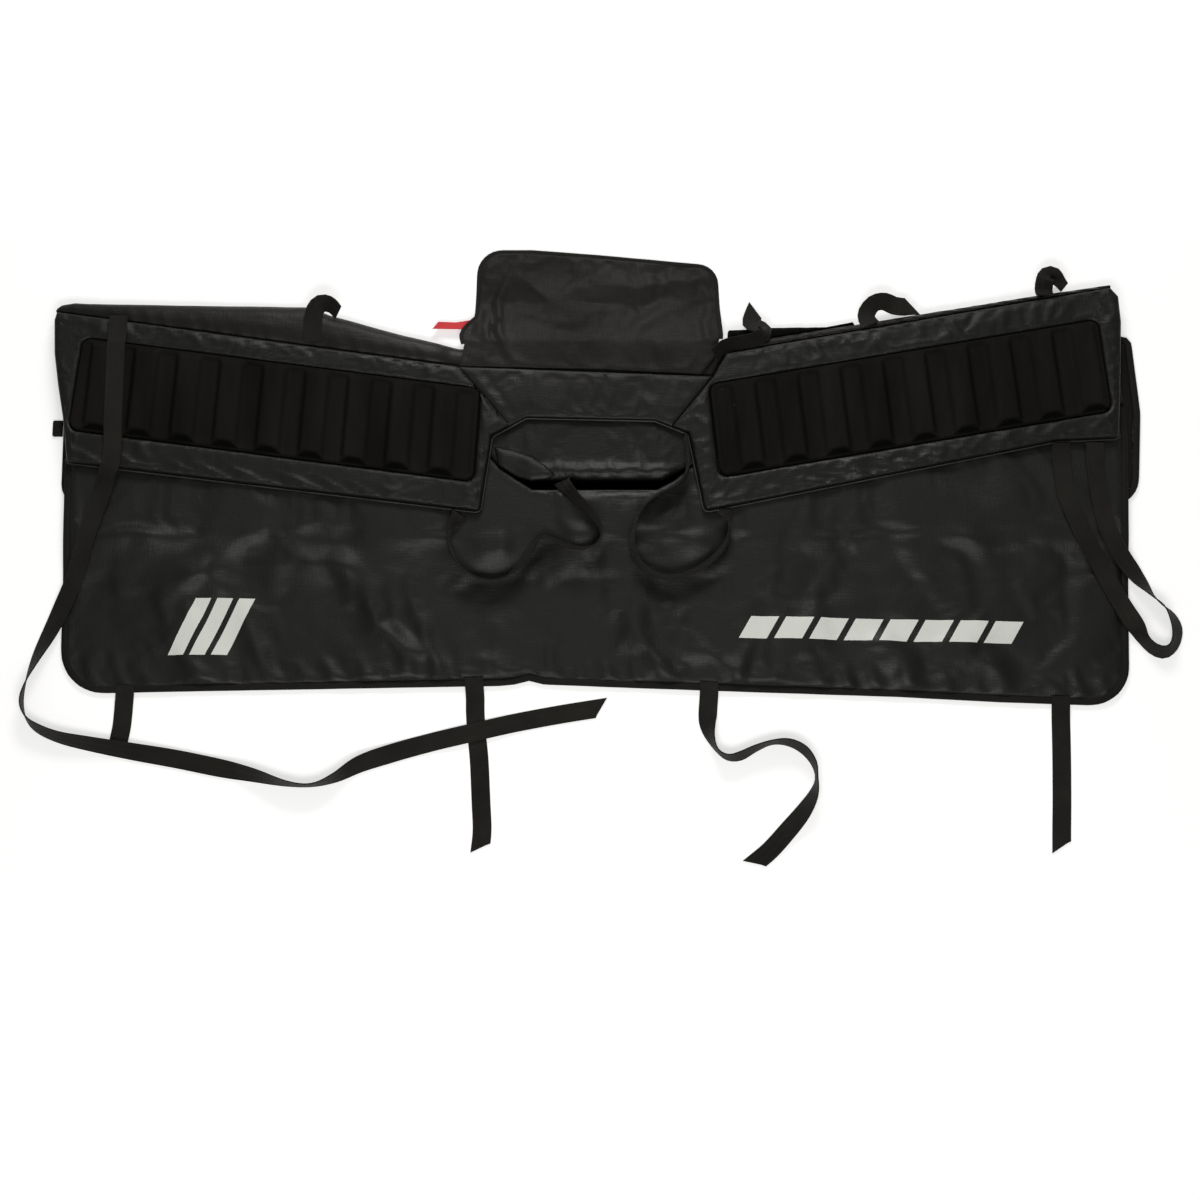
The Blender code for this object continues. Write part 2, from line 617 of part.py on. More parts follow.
def build_tape(name, outline, width, underside, thickness, rows, colour):
    """Build the edge tape sewn round a panel, as a ring just outside the panel's body."""
    outer = offset_outline(outline, -SEWN_GAP / 2.0)
    bm = flat_region(outer, ring_only=width - SEWN_GAP, cuts=[(1, row) for row in rows])
    raise_region(
        bm,
        lambda x, y: underside(y) + TAPE_FLOOR_CLEARANCE + thickness,
        lambda x, y: underside(y) + TAPE_FLOOR_CLEARANCE,
        merge_underside=False,
    )
    return add_object(name, bm, colour, 0.7)


def build_bed_side():
    """Build the bed-side panel, its tape and the tab at its left edge."""
    corners = list(INNER_PANEL_SIDES)
    corners += [(x, y, 0.0) for x, y in seam_between(-0.735, 0.708)]
    outline = rounded_outline(corners)
    colour = (0.012, 0.011, 0.011)
    build_panel("inner_panel", outline, 0.0, INNER_PANEL_THICKNESS, colour, PANEL_TAPE_WIDTH)
    build_tape("inner_panel_tape", outline, PANEL_TAPE_WIDTH, lambda y: 0.0, TAPE_THICKNESS, (), (0.02, 0.018, 0.017))
    tab = rounded_outline(EDGE_TAB_CORNERS)
    bm = flat_region(tab)
    base = TAPE_FLOOR_CLEARANCE
    raise_region(bm, lambda x, y: base + EDGE_TAB_THICKNESS, lambda x, y: base)
    add_object("edge_tab", bm, (0.02, 0.018, 0.016), 0.8)


def road_panel_outline():
    """Return the nominal outline of the road-side panel, tape included."""
    return rounded_outline(ROAD_PANEL_HEM + ROAD_PANEL_TOP)


def build_road_side():
    """Build the road-side panel with its folds, and its tape."""
    outline = road_panel_outline()
    body = offset_outline(outline, -SEWN_GAP / 2.0 - PANEL_TAPE_WIDTH)
    border = closed(body)
    rows = (DROP_START_Y, DROP_END_Y)
    low_y = min(point[1] for point in body)
    cuts = grid_cuts(body, RELIEF_STEP, low_y, FOLD_LIMIT_Y)
    cuts = [cut for cut in cuts if cut[0] == 0 or all(abs(cut[1] - row) > 0.006 for row in rows)]
    cuts += [(1, row) for row in (*rows, FOLD_LIMIT_Y)]

    def top(x, y):
        edge = round_edge(distance_to_path(x, y, border))
        pad = PANEL_EDGE_THICKNESS + (ROAD_PANEL_THICKNESS - PANEL_EDGE_THICKNESS) * edge
        return drop(y) + pad + fold_height(x, y, PANEL_FOLDS) * clear_of_yoke(y) * (0.35 + 0.65 * edge)

    bm = flat_region(body, rings=(SOFT_EDGE,), cuts=cuts)
    raise_region(bm, top, lambda x, y: drop(y), rows)
    add_object("outer_panel", bm, (0.017, 0.017, 0.017), 0.5, math.radians(50))
    build_tape("outer_panel_tape", outline, PANEL_TAPE_WIDTH, drop, TAPE_THICKNESS, rows, (0.016, 0.016, 0.017))


def valance_outline():
    """Return the outline of the valance, from the slot up to the crown seam."""
    left_inner = ROAD_PANEL_TOP[-2][:2]
    right_inner = ROAD_PANEL_TOP[2][:2]
    slot_left = (SLOT_LEFT_X, SLOT_TOP_Y)
    slot_right = (SLOT_RIGHT_X + 0.008, SLOT_TOP_Y)
    outline = [left_inner, (-0.134, -0.076), slot_left, slot_right, (0.116, -0.084), (0.128, -0.078), right_inner]
    return outline + seam_between(left_inner[0], right_inner[0])


def bridge_outline():
    """Return the outline of the bridge between the two wings."""
    return [chamfer_joint("left"), LEFT_CHAMFER_TOP, RIGHT_CHAMFER_TOP, chamfer_joint("right"),
            SEAM_RIGHT_INNER, SEAM_LEFT_INNER]


def build_backing():
    """Build the two backing panels under the wings and the valance between them."""
    left_edge = ROAD_PANEL_TOP[-1][:2]
    left_inner = ROAD_PANEL_TOP[-2][:2]
    right_inner = ROAD_PANEL_TOP[2][:2]
    right_edge = ROAD_PANEL_TOP[1][:2]
    colour = (0.017, 0.017, 0.017)
    left = [left_edge, left_inner] + seam_between(-0.735, left_inner[0])
    build_panel("left_backing_panel", left, UNDER_ROAD_PANEL, ROAD_PANEL_THICKNESS, colour)
    right = [right_inner, right_edge] + seam_between(right_inner[0], 0.708)
    build_panel("right_backing_panel", right, UNDER_ROAD_PANEL, ROAD_PANEL_THICKNESS, colour)

    body = offset_outline(valance_outline(), -SEWN_GAP / 2.0)
    border = closed(body)

    def top(x, y):
        edge = round_edge(distance_to_path(x, y, border), SOFT_EDGE)
        swell = smooth_step((LEFT_CHAMFER_LOW[1] - y) / 0.03) * smooth_step((y - SLOT_TOP_Y) / 0.02)
        hem = VALANCE_HEM_SWELL * swell * smooth_step((0.085 - abs(x - 0.01)) / 0.04)
        return UNDER_ROAD_PANEL + 0.0045 + (VALANCE_THICKNESS - 0.0045) * edge + hem

    bm = flat_region(body, rings=(SOFT_EDGE,), cuts=grid_cuts(body, RELIEF_STEP))
    raise_region(bm, top, lambda x, y: UNDER_ROAD_PANEL)
    add_object("centre_valance", bm, (0.021, 0.023, 0.020), 0.5, math.radians(50))

    pleat = offset_outline([corner[:2] for corner in PLEAT_CORNERS], -SEWN_GAP / 2.0)
    level = UNDER_YOKE + SEWN_GAP
    bm = flat_region(pleat)
    raise_region(bm, lambda x, y: level + PLEAT_THICKNESS, lambda x, y: level)
    add_object("side_pleat", bm, (0.018, 0.018, 0.018), 0.6)


def crown_top_y(x):
    """Return the far edge of the crown at x."""
    points = sorted(CROWN_TOP_EDGE)
    for first, second in zip(points, points[1:]):
        if x <= second[0]:
            return height_on_line(x, first, second)
    return points[-1][1]


def crown_section(x):
    """Return the section of the padded crown at x, from its seam over the top to the floor."""
    low = seam_y(x) + SEWN_GAP / 2.0
    high = crown_top_y(x) - SEWN_GAP / 2.0
    flat = UNDER_YOKE - SEWN_GAP
    free = smooth_step((abs(x - FLAP_MIDDLE_X) - FLAP_HALF_WIDTH) / 0.030)
    full = flat + (CROWN_THICKNESS - flat) * free
    section = [(low, 0.0)]
    for across, rise in CROWN_PROFILE:
        section.append((low + (high - low) * across, full * rise))
    section.append((high - CROWN_UNDERCUT, 0.0))
    return [Vector((x, y, z)) for y, z in section]


def build_crown():
    """Build the padded roll along the fold and the fleece lining that shows behind it."""
    bm = loft([crown_section(x) for x in CROWN_STATIONS])
    add_object("crown_roll", bm, (0.027, 0.023, 0.020), 0.55, math.radians(60))

    fleece = rounded_outline(FLEECE_OUTLINE)
    fleece_border = closed(fleece)
    rim = FLEECE_THICKNESS * 0.5

    def fleece_top(x, y):
        return rim + (FLEECE_THICKNESS - rim) * round_edge(distance_to_path(x, y, fleece_border), 0.008)

    bm = flat_region(fleece, rings=(0.004,), cuts=[(0, 0.235)])
    raise_region(bm, fleece_top, lambda x, y: TAPE_FLOOR_CLEARANCE)
    add_object("fleece_lining", bm, (0.010, 0.010, 0.010), 0.95)


def wing_corners(side):
    """Return the corners of the left or right wing."""
    if side == "left":
        points = (SEAM_LEFT, *LEFT_SIDE, LEFT_HEM_OUTER, LEFT_HEM_INNER, LEFT_CHAMFER_LOW,
                  chamfer_joint("left"), SEAM_LEFT_INNER)
    else:
        points = (SEAM_RIGHT_CORNER, SEAM_RIGHT_INNER, chamfer_joint("right"), RIGHT_CHAMFER_LOW,
                  RIGHT_HEM_INNER, RIGHT_HEM_BEND, RIGHT_HEM_OUTER, *RIGHT_SIDE, SEAM_RIGHT)
    rounded = (LEFT_HEM_OUTER, LEFT_HEM_INNER, RIGHT_HEM_INNER, RIGHT_HEM_OUTER)
    return [(*point, WING_CORNER_RADIUS if point in rounded else 0.0) for point in points]


def chamfer_joint(side):
    """Return the middle of a chamfer of the cut-out, where wing and bridge are sewn."""
    low, high = (LEFT_CHAMFER_LOW, LEFT_CHAMFER_TOP) if side == "left" else (RIGHT_CHAMFER_LOW, RIGHT_CHAMFER_TOP)
    return ((low[0] + high[0]) / 2.0, (low[1] + high[1]) / 2.0)


def bumper_skew(tilt):
    """Return how far the bumper leans along X for each metre across it."""
    return math.copysign(math.tan(BUMPER_SKEW), tilt)


def bumper_place(x, y, centre, tilt):
    """Return where a point of a bumper lies on the pad."""
    lean = x + y * bumper_skew(tilt)
    return (
        centre[0] + lean * math.cos(tilt) - y * math.sin(tilt),
        centre[1] + lean * math.sin(tilt) + y * math.cos(tilt),
    )


def bumper_point(x, y, centre, tilt):
    """Return where a place on the pad lies on a bumper, about the bumper's own centre."""
    across = -(x - centre[0]) * math.sin(tilt) + (y - centre[1]) * math.cos(tilt)
    along = (x - centre[0]) * math.cos(tilt) + (y - centre[1]) * math.sin(tilt)
    return along - across * bumper_skew(tilt), across


def bumper_outline(grow=0.0):
    """Return the bumper's rounded outline about its own centre."""
    half_x = BUMPER_LENGTH / 2.0 + grow
    half_y = BUMPER_DEPTH / 2.0 + grow
    radius = BUMPER_CORNER_RADIUS + grow
    corners = [(-half_x, -half_y, radius), (half_x, -half_y, radius), (half_x, half_y, radius), (-half_x, half_y, radius)]
    return rounded_outline(corners)


def build_wing(side, centre, tilt):
    """Build one wing of the yoke, with the pocket that its bumper sits in."""
    outline = rounded_outline(wing_corners(side))
    body = offset_outline(outline, -SEWN_GAP / 2.0)
    border = closed(body)
    rim = WING_THICKNESS * 0.55

    def top(x, y):
        return UNDER_YOKE + rim + (WING_THICKNESS - rim) * round_edge(distance_to_path(x, y, border))

    bm = flat_region(body, rings=(SOFT_EDGE * 0.4, SOFT_EDGE * 0.6))
    raise_region(bm, top, lambda x, y: UNDER_YOKE)
    wing = add_object(side + "_wing", bm, (0.016, 0.015, 0.015), 0.5, math.radians(60))

    pocket = [bumper_place(x, y, centre, tilt) for x, y in bumper_outline(POCKET_CLEARANCE)]
    floor = UNDER_YOKE + WING_THICKNESS - POCKET_DEPTH
    bm = flat_region(pocket)
    raise_region(bm, lambda x, y: floor + 2.0 * POCKET_DEPTH, lambda x, y: floor)
    cutter = add_object(side + "_pocket_cutter", bm, (0.5, 0.5, 0.5), 0.5)
    cutter.hide_render = True
    cutter.display_type = "WIRE"
    cut = wing.modifiers.new("Pocket", "BOOLEAN")
    cut.operation = "DIFFERENCE"
    cut.object = cutter


def rib_profile(x, outward):
    """Return the rise of the ribs, 0 to 1, at x along the bumper."""
    position = (x - RIB_SHIFT * outward) / RIB_PITCH + (RIB_COUNT - 1) / 2.0
    nearest = max(0, min(RIB_COUNT - 1, round(position)))
    distance = abs(position - nearest) * RIB_PITCH
    flank = (RIB_WIDTH - RIB_CREST_WIDTH) / 2.0
    return smooth_step((RIB_WIDTH / 2.0 - distance) / flank)


def build_bumper(side, centre, tilt):
    """Build one moulded bumper: a base with a raised rim and a row of ribs."""
    outward = -1.0 if side == "left" else 1.0
    outline = bumper_outline()
    border = closed(outline)
    half_y = BUMPER_DEPTH / 2.0
    rib_end = half_y - BUMPER_RIM_WIDTH

    def top(x, y):
        from_edge = distance_to_path(x, y, border)
        rim = BUMPER_RIM_RISE * smooth_step((BUMPER_RIM_WIDTH - abs(from_edge - 0.003)) / BUMPER_RIM_WIDTH)
        end = smooth_step((rib_end - abs(y)) / RIB_END_SLOPE)
        return BUMPER_BASE_THICKNESS + rim * (1.0 - end) + RIB_HEIGHT * rib_profile(x, outward) * end

    flank = (RIB_WIDTH - RIB_CREST_WIDTH) / 2.0
    cuts = []
    for index in range(RIB_COUNT):
        middle = (index - (RIB_COUNT - 1) / 2.0) * RIB_PITCH + RIB_SHIFT * outward
        for offset in (RIB_CREST_WIDTH / 2.0, RIB_CREST_WIDTH / 2.0 + flank / 2.0, RIB_WIDTH / 2.0):
            cuts += [(0, middle - offset), (0, middle + offset)]
    for sign in (-1.0, 1.0):
        cuts += [(1, sign * rib_end), (1, sign * (rib_end - RIB_END_SLOPE / 2.0)), (1, sign * (rib_end - RIB_END_SLOPE))]

    bm = flat_region(outline, rings=(0.003,), cuts=cuts)
    raise_region(bm, top, lambda x, y: 0.0)
    floor = UNDER_YOKE + WING_THICKNESS - POCKET_DEPTH
    for vert in bm.verts:
        x, y = bumper_place(vert.co.x, vert.co.y, centre, tilt)
        vert.co = (x, y, vert.co.z + floor + SEWN_GAP)
    add_object(side + "_bumper", bm, (0.0075, 0.0075, 0.0075), 0.95, math.radians(60))


def build_bridge():
    """Build the bridge that joins the two wings over the cut-out."""
    body = offset_outline(bridge_outline(), -SEWN_GAP / 2.0)
    border = closed(body)
    rim = BRIDGE_THICKNESS * 0.6

    def top(x, y):
        return UNDER_YOKE + rim + (BRIDGE_THICKNESS - rim) * round_edge(distance_to_path(x, y, border))

    bm = flat_region(body, rings=(SOFT_EDGE * 0.5, SOFT_EDGE * 0.5), cuts=[(0, -0.09), (0, 0.08)])
    raise_region(bm, top, lambda x, y: UNDER_YOKE)
    add_object("centre_bridge", bm, (0.022, 0.022, 0.022), 0.5, math.radians(60))


def build_piping():
    """Build the thin piping cord sewn along the free edge of the yoke."""
    corners = [
        (*LEFT_HEM_OUTER, WING_CORNER_RADIUS), (*LEFT_HEM_INNER, WING_CORNER_RADIUS), (*LEFT_CHAMFER_LOW, 0.0),
        (*LEFT_CHAMFER_TOP, 0.0), (*RIGHT_CHAMFER_TOP, 0.0), (*RIGHT_CHAMFER_LOW, 0.0),
        (*RIGHT_HEM_INNER, WING_CORNER_RADIUS), (*RIGHT_HEM_BEND, 0.0), (*RIGHT_HEM_OUTER, WING_CORNER_RADIUS),
        (*RIGHT_SIDE[0], 0.0), (*LEFT_SIDE[-1], 0.0),
    ]
    outline = offset_outline(rounded_outline(corners), PIPING_RADIUS + SEWN_GAP)
    curve = bpy.data.curves.new("yoke_piping", "CURVE")
    curve.dimensions = "3D"
    curve.bevel_depth = PIPING_RADIUS
    curve.bevel_resolution = 1
    curve.use_fill_caps = True
    spline = curve.splines.new("POLY")
    path = outline[:-2]
    spline.points.add(len(path) - 1)
    level = UNDER_YOKE + PIPING_RADIUS + SEWN_GAP
    for point, (x, y) in zip(spline.points, path):
        point.co = (x, y, level, 1.0)
    curve.materials.append(make_material("yoke_piping", (0.05, 0.05, 0.05), 0.45))
    item = bpy.data.objects.new("yoke_piping", curve)
    bpy.context.scene.collection.objects.link(item)


def flap_underside(y):
    """Return the underside of the handle flap at y: on the crown, then down to the floor."""
    share = max(0.0, min(1.0, (y - FLAP_DROP_START_Y) / (FLAP_DROP_END_Y - FLAP_DROP_START_Y)))
    return (UNDER_YOKE + SEWN_GAP) * (1.0 - share)


def build_flap():
    """Build the handle flap, turned up past the crown, its tape and the small label beside it."""
    outline = rounded_outline(FLAP_CORNERS)
    rows = (FLAP_DROP_START_Y, FLAP_DROP_END_Y)
    body = offset_outline(outline, -SEWN_GAP / 2.0 - FLAP_TAPE_WIDTH)
    border = closed(body)

    def top(x, y):
        edge = round_edge(distance_to_path(x, y, border))
        return flap_underside(y) + 0.0032 + (FLAP_THICKNESS - 0.0032) * edge + fold_height(x, y, FLAP_FOLDS) * edge

    cuts = [cut for cut in grid_cuts(body, RELIEF_STEP) if cut[0] == 0 or all(abs(cut[1] - row) > 0.005 for row in rows)]
    cuts += [(1, row) for row in rows]
    bm = flat_region(body, rings=(SOFT_EDGE,), cuts=cuts)
    raise_region(bm, top, lambda x, y: flap_underside(y), rows)
    add_object("handle_flap", bm, (0.034, 0.031, 0.029), 0.55, math.radians(50))
    build_tape("handle_flap_tape", outline, FLAP_TAPE_WIDTH, flap_underside, 0.0030, rows, (0.018, 0.016, 0.015))

    bm = flat_region(LABEL_CORNERS)
    raise_region(
        bm,
        lambda x, y: flap_underside(y) - SEWN_GAP,
        lambda x, y: flap_underside(y) - SEWN_GAP - LABEL_THICKNESS,
    )
    add_object("fabric_label", bm, (0.63, 0.045, 0.055), 0.75)


# Webbing
def spline_point(points, position):
    """Return a point of the smooth curve through the points, at a whole-and-part index."""
    index = min(int(position), len(points) - 2)
    share = position - index
    before = points[max(index - 1, 0)]
    start = points[index]
    end = points[index + 1]
    after = points[min(index + 2, len(points) - 1)]
    result = []
    for p0, p1, p2, p3 in zip(before, start, end, after):
        slope_in = (p2 - p0) / 2.0
        slope_out = (p3 - p1) / 2.0
        square = share * share
        cube = square * share
        result.append(
            (2.0 * cube - 3.0 * square + 1.0) * p1 + (cube - 2.0 * square + share) * slope_in
            + (3.0 * square - 2.0 * cube) * p2 + (cube - square) * slope_out
        )
    return result


def ground_level(x, y):
    """Return the top of whatever the pad has at a place, or the floor."""
    for side, centre, tilt in BUMPERS:
        local_x, local_y = bumper_point(x, y, centre, tilt)
        if abs(local_x) < BUMPER_LENGTH / 2.0 + POCKET_CLEARANCE and abs(local_y) < BUMPER_DEPTH / 2.0:
            outward = -1.0 if side == "left" else 1.0
            rib = max(RIB_HEIGHT * rib_profile(local_x, outward), BUMPER_RIM_RISE)
            return UNDER_YOKE + WING_THICKNESS - POCKET_DEPTH + SEWN_GAP + BUMPER_BASE_THICKNESS + rib
        if inside(x, y, offset_outline(rounded_outline(wing_corners(side)), 0.001)):
            return UNDER_YOKE + WING_THICKNESS
    if seam_y(x) <= y <= crown_top_y(x) and CROWN_STATIONS[0] < x < CROWN_STATIONS[-1]:
        return max(corner.z for corner in crown_section(x))
    if inside(x, y, [corner[:2] for corner in FLEECE_OUTLINE]):
        return FLEECE_THICKNESS
    outline = road_panel_outline()
    if inside(x, y, offset_outline(outline, 0.001)):
        if distance_to_path(x, y, closed(outline)) < PANEL_TAPE_WIDTH and y < DROP_START_Y:
            return drop(y) + TAPE_FLOOR_CLEARANCE + TAPE_THICKNESS
        return drop(y) + ROAD_PANEL_THICKNESS + fold_height(x, y, PANEL_FOLDS) * clear_of_yoke(y)
    if inside(x, y, offset_outline(bridge_outline(), 0.002)):
        return UNDER_YOKE + BRIDGE_THICKNESS
    if inside(x, y, offset_outline(valance_outline(), 0.001)):
        return UNDER_ROAD_PANEL + VALANCE_THICKNESS + VALANCE_HEM_SWELL
    if INNER_PANEL_SIDES[0][1] < y < seam_y(x):
        return INNER_PANEL_THICKNESS
    return 0.0


def resting_height(x, y, tangent, roll):
    """Return the lowest height of the webbing's middle that clears whatever lies beneath it."""
    ahead = tangent.xy.normalized()
    side = Vector((-ahead.y, ahead.x))
    height = 0.0
    for share in (-1.0, -0.5, 0.0, 0.5, 1.0):
        reach = share * WEBBING_WIDTH / 2.0
        for advance in (-WEBBING_LOOK_AHEAD, 0.0, WEBBING_LOOK_AHEAD):
            place = Vector((x, y)) + side * reach * math.cos(roll) + ahead * advance
            height = max(height, ground_level(place.x, place.y) - reach * math.sin(roll))
    return height + WEBBING_THICKNESS / 2.0 * math.cos(roll) + SEWN_GAP


def webbing_stations(route):
    """Return (place, tangent, roll) stations along a strap's route, at rest on what lies beneath."""
    flat = [(x, y, lift, roll) for x, y, lift, roll in route]
    positions = []
    for index in range(len(flat) - 1):
        length = (Vector(flat[index + 1][:2]) - Vector(flat[index][:2])).length
        parts = max(1, round(length / WEBBING_STEP))
        positions += [index + part / parts for part in range(parts)]
    positions.append(len(flat) - 1.0)
    places = []
    for position in positions:
        x, y, lift, degrees = spline_point(flat, min(position, len(flat) - 1.0001))
        ahead = spline_point(flat, min(position + 0.1, len(flat) - 1.0001))
        behind = spline_point(flat, max(position - 0.1, 0.0))
        tangent = Vector((ahead[0] - behind[0], ahead[1] - behind[1], 0.0))
        roll = math.radians(degrees)
        places.append((Vector((x, y, resting_height(x, y, tangent, roll) + lift)), roll))
    stations = []
    for index, (place, roll) in enumerate(places):
        ahead = places[min(index + 1, len(places) - 1)][0]
        behind = places[max(index - 1, 0)][0]
        stations.append((place, (ahead - behind).normalized(), roll))
    return stations


def webbing_corners(place, tangent, roll, shear=0.0):
    """Return the four corners of the webbing's section at a station."""
    level = Vector((0.0, 0.0, 1.0)).cross(tangent).normalized()
    raised = tangent.cross(level)
    across = level * math.cos(roll) + raised * math.sin(roll)
    normal = tangent.cross(across)
    corners = []
    for side, face in ((-1, -1), (1, -1), (1, 1), (-1, 1)):
        corner = place + across * side * WEBBING_WIDTH / 2.0 + normal * face * WEBBING_THICKNESS / 2.0
        corners.append(corner + tangent * side * shear / 2.0)
    return corners


def build_strap(strap):
    """Build one strap of flat webbing along its route."""
    stations = webbing_stations(strap.route)
    sections = [webbing_corners(*station) for station in stations[:-1]]
    sections.append(webbing_corners(*stations[-1], strap.tip_slant))
    add_object(strap.name, loft(sections), (0.019, 0.017, 0.014), 0.7)


# Ladder locks
def buckle_centre_y():
    """Return the middle of a ladder lock in y, just below the bed-side panel's hem."""
    hem = INNER_PANEL_SIDES[0][1]
    return hem - SEWN_GAP - 0.004 - BUCKLE_LENGTH / 2.0


def build_buckles():
    """Build the four ladder locks and the webbing loops that carry them."""
    half_x = BUCKLE_WIDTH / 2.0
    half_y = BUCKLE_LENGTH / 2.0
    slot_x = half_x - BUCKLE_SIDE
    slot_rows = []
    row = half_y - BUCKLE_BAR
    for _ in range(3):
        slot_rows.append((row - BUCKLE_SLOT, row))
        row -= BUCKLE_SLOT + BUCKLE_BAR
    outline = rounded_outline([(-half_x, -half_y, 0.004), (half_x, -half_y, 0.004),
                               (half_x, half_y, 0.003), (-half_x, half_y, 0.003)])
    cuts = [(0, -slot_x), (0, slot_x)]
    holes = []
    for low, high in slot_rows:
        cuts += [(1, low), (1, high)]
        holes.append((-slot_x, low, slot_x, high))
    bm = flat_region(outline, cuts=cuts, holes=holes)
    grow_plate(bm, BUCKLE_THICKNESS)
    template = add_object("tie_buckle_1", bm, (0.01, 0.01, 0.01), 0.4)
    floor = TAPE_FLOOR_CLEARANCE + LOOP_THICKNESS + LOOP_BAR_CLEARANCE
    template.location = (BUCKLE_X[0], buckle_centre_y(), floor)
    for index, x in enumerate(BUCKLE_X[1:], start=2):
        copy = bpy.data.objects.new("tie_buckle_%d" % index, template.data)
        copy.location = (x, buckle_centre_y(), floor)
        bpy.context.scene.collection.objects.link(copy)
    for index, x in enumerate(BUCKLE_X, start=1):
        build_buckle_loop(index, x, half_y)


def grow_plate(bm, thickness):
    """Extrude a flat pierced plate upwards."""
    raised = bmesh.ops.extrude_face_region(bm, geom=bm.faces[:])
    upper = [item for item in raised["geom"] if isinstance(item, bmesh.types.BMVert)]
    bmesh.ops.translate(bm, verts=upper, vec=(0.0, 0.0, thickness))


def build_buckle_loop(index, x, half_y):
    """Build the short webbing loop round a ladder lock's upper bar, sewn to the hem."""
    bar_y = buckle_centre_y() + half_y - BUCKLE_BAR / 2.0
    inner_low = TAPE_FLOOR_CLEARANCE + LOOP_THICKNESS
    inner_high = inner_low + BUCKLE_THICKNESS + 2.0 * LOOP_BAR_CLEARANCE
    front = bar_y - BUCKLE_BAR / 2.0 - LOOP_BAR_CLEARANCE
    hem = INNER_PANEL_SIDES[0][1] - SEWN_GAP
    inner = [(hem, inner_low), (front, inner_low), (front, inner_high), (hem, inner_high)]
    outer = [(hem, inner_high + LOOP_THICKNESS), (front - LOOP_THICKNESS, inner_high + LOOP_THICKNESS),
             (front - LOOP_THICKNESS, inner_low - LOOP_THICKNESS), (hem, inner_low - LOOP_THICKNESS)]
    width = BUCKLE_WIDTH - 2.0 * BUCKLE_SIDE - 0.001
    bm = bmesh.new()
    section = [bm.verts.new((x - width / 2.0, y, z)) for y, z in inner + outer]
    face = bm.faces.new(section)
    grown = bmesh.ops.extrude_face_region(bm, geom=[face])
    moved = [item for item in grown["geom"] if isinstance(item, bmesh.types.BMVert)]
    bmesh.ops.translate(bm, verts=moved, vec=(width, 0.0, 0.0))
    add_object("buckle_loop_%d" % index, bm, (0.019, 0.017, 0.014), 0.75)


def clear_scene():
    """Remove whatever the scene holds."""
    for item in list(bpy.data.objects):
        bpy.data.objects.remove(item, do_unlink=True)


def main():
    """Build the whole pad."""
    clear_scene()
    build_bed_side()
    build_road_side()
    build_backing()
    build_crown()
    build_bridge()
    for side, centre, tilt in BUMPERS:
        build_wing(side, centre, tilt)
        build_bumper(side, centre, tilt)
    build_piping()
    build_flap()
    for strap in STRAPS:
        build_strap(strap)
    build_buckles()


main()
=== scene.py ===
"""Looks of the folded tailgate bike pad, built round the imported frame.

The pad lies on the floor as it came to rest. The bed-side panel is underneath, the road-side panel
lies on it, and the yoke with its two ribbed bumpers lies on top. The handle flap is turned up past
the crown, and the webbing lies loose. Metres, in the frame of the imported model.
"""

from __future__ import annotations

import json
import logging
import math
from collections.abc import Callable, Iterable, Sequence
from dataclasses import dataclass, field
from enum import Enum
from typing import Protocol

import bmesh
import bpy
import numpy as np
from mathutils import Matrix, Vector, noise
from mathutils.bvhtree import BVHTree

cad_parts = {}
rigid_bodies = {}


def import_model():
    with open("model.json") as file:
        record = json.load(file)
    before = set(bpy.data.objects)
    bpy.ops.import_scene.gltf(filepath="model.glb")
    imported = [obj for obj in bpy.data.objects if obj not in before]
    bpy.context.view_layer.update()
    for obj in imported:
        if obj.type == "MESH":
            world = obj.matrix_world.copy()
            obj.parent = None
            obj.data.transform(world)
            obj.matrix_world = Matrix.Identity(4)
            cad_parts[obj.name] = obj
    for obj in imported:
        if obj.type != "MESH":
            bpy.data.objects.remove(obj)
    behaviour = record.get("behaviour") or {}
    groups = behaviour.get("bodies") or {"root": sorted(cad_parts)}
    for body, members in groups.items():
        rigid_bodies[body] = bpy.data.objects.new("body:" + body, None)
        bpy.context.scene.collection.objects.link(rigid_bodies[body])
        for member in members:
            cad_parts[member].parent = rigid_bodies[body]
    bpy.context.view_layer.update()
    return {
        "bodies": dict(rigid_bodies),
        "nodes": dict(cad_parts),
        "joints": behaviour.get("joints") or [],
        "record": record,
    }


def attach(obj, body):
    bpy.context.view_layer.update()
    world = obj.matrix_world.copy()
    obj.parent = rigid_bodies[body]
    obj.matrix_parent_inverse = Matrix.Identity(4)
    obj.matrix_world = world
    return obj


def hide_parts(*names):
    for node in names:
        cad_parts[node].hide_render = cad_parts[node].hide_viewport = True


LOG = logging.getLogger("bike_pad")

Point = tuple[float, float]
Path = Sequence[Point]
Corner = tuple[float, ...]
Colour = tuple[float, float, float]
Array = np.ndarray
Surface = Callable[[Array, Array], Array]
Item = bpy.types.Object
Tree = bpy.types.NodeTree
Node = bpy.types.Node
Socket = bpy.types.NodeSocket

MERGE = 0.0003  # nearest that two vertices of a cut region stay apart
THINNEST = 0.0006  # least thickness of a closed sheet
SHARP = math.radians(55.0)


class Slot(Enum):
    """The record's material slots."""

    FABRIC = "coated_fabric"
    TAPE = "edge_tape"
    WEBBING = "webbing"
    PIPING = "piping"
    FLEECE = "fleece"
    LABEL = "label"
    BUMPER = "bumper"
    BUCKLE = "buckle_plastic"


class FarEnd(Enum):
    """What a strap's far end is."""

    BARE = "bare"
    OBJECT = "object"


class Side(Enum):
    """A wing's side of the pad, with the sign of X there."""

    LEFT = -1.0
    RIGHT = 1.0


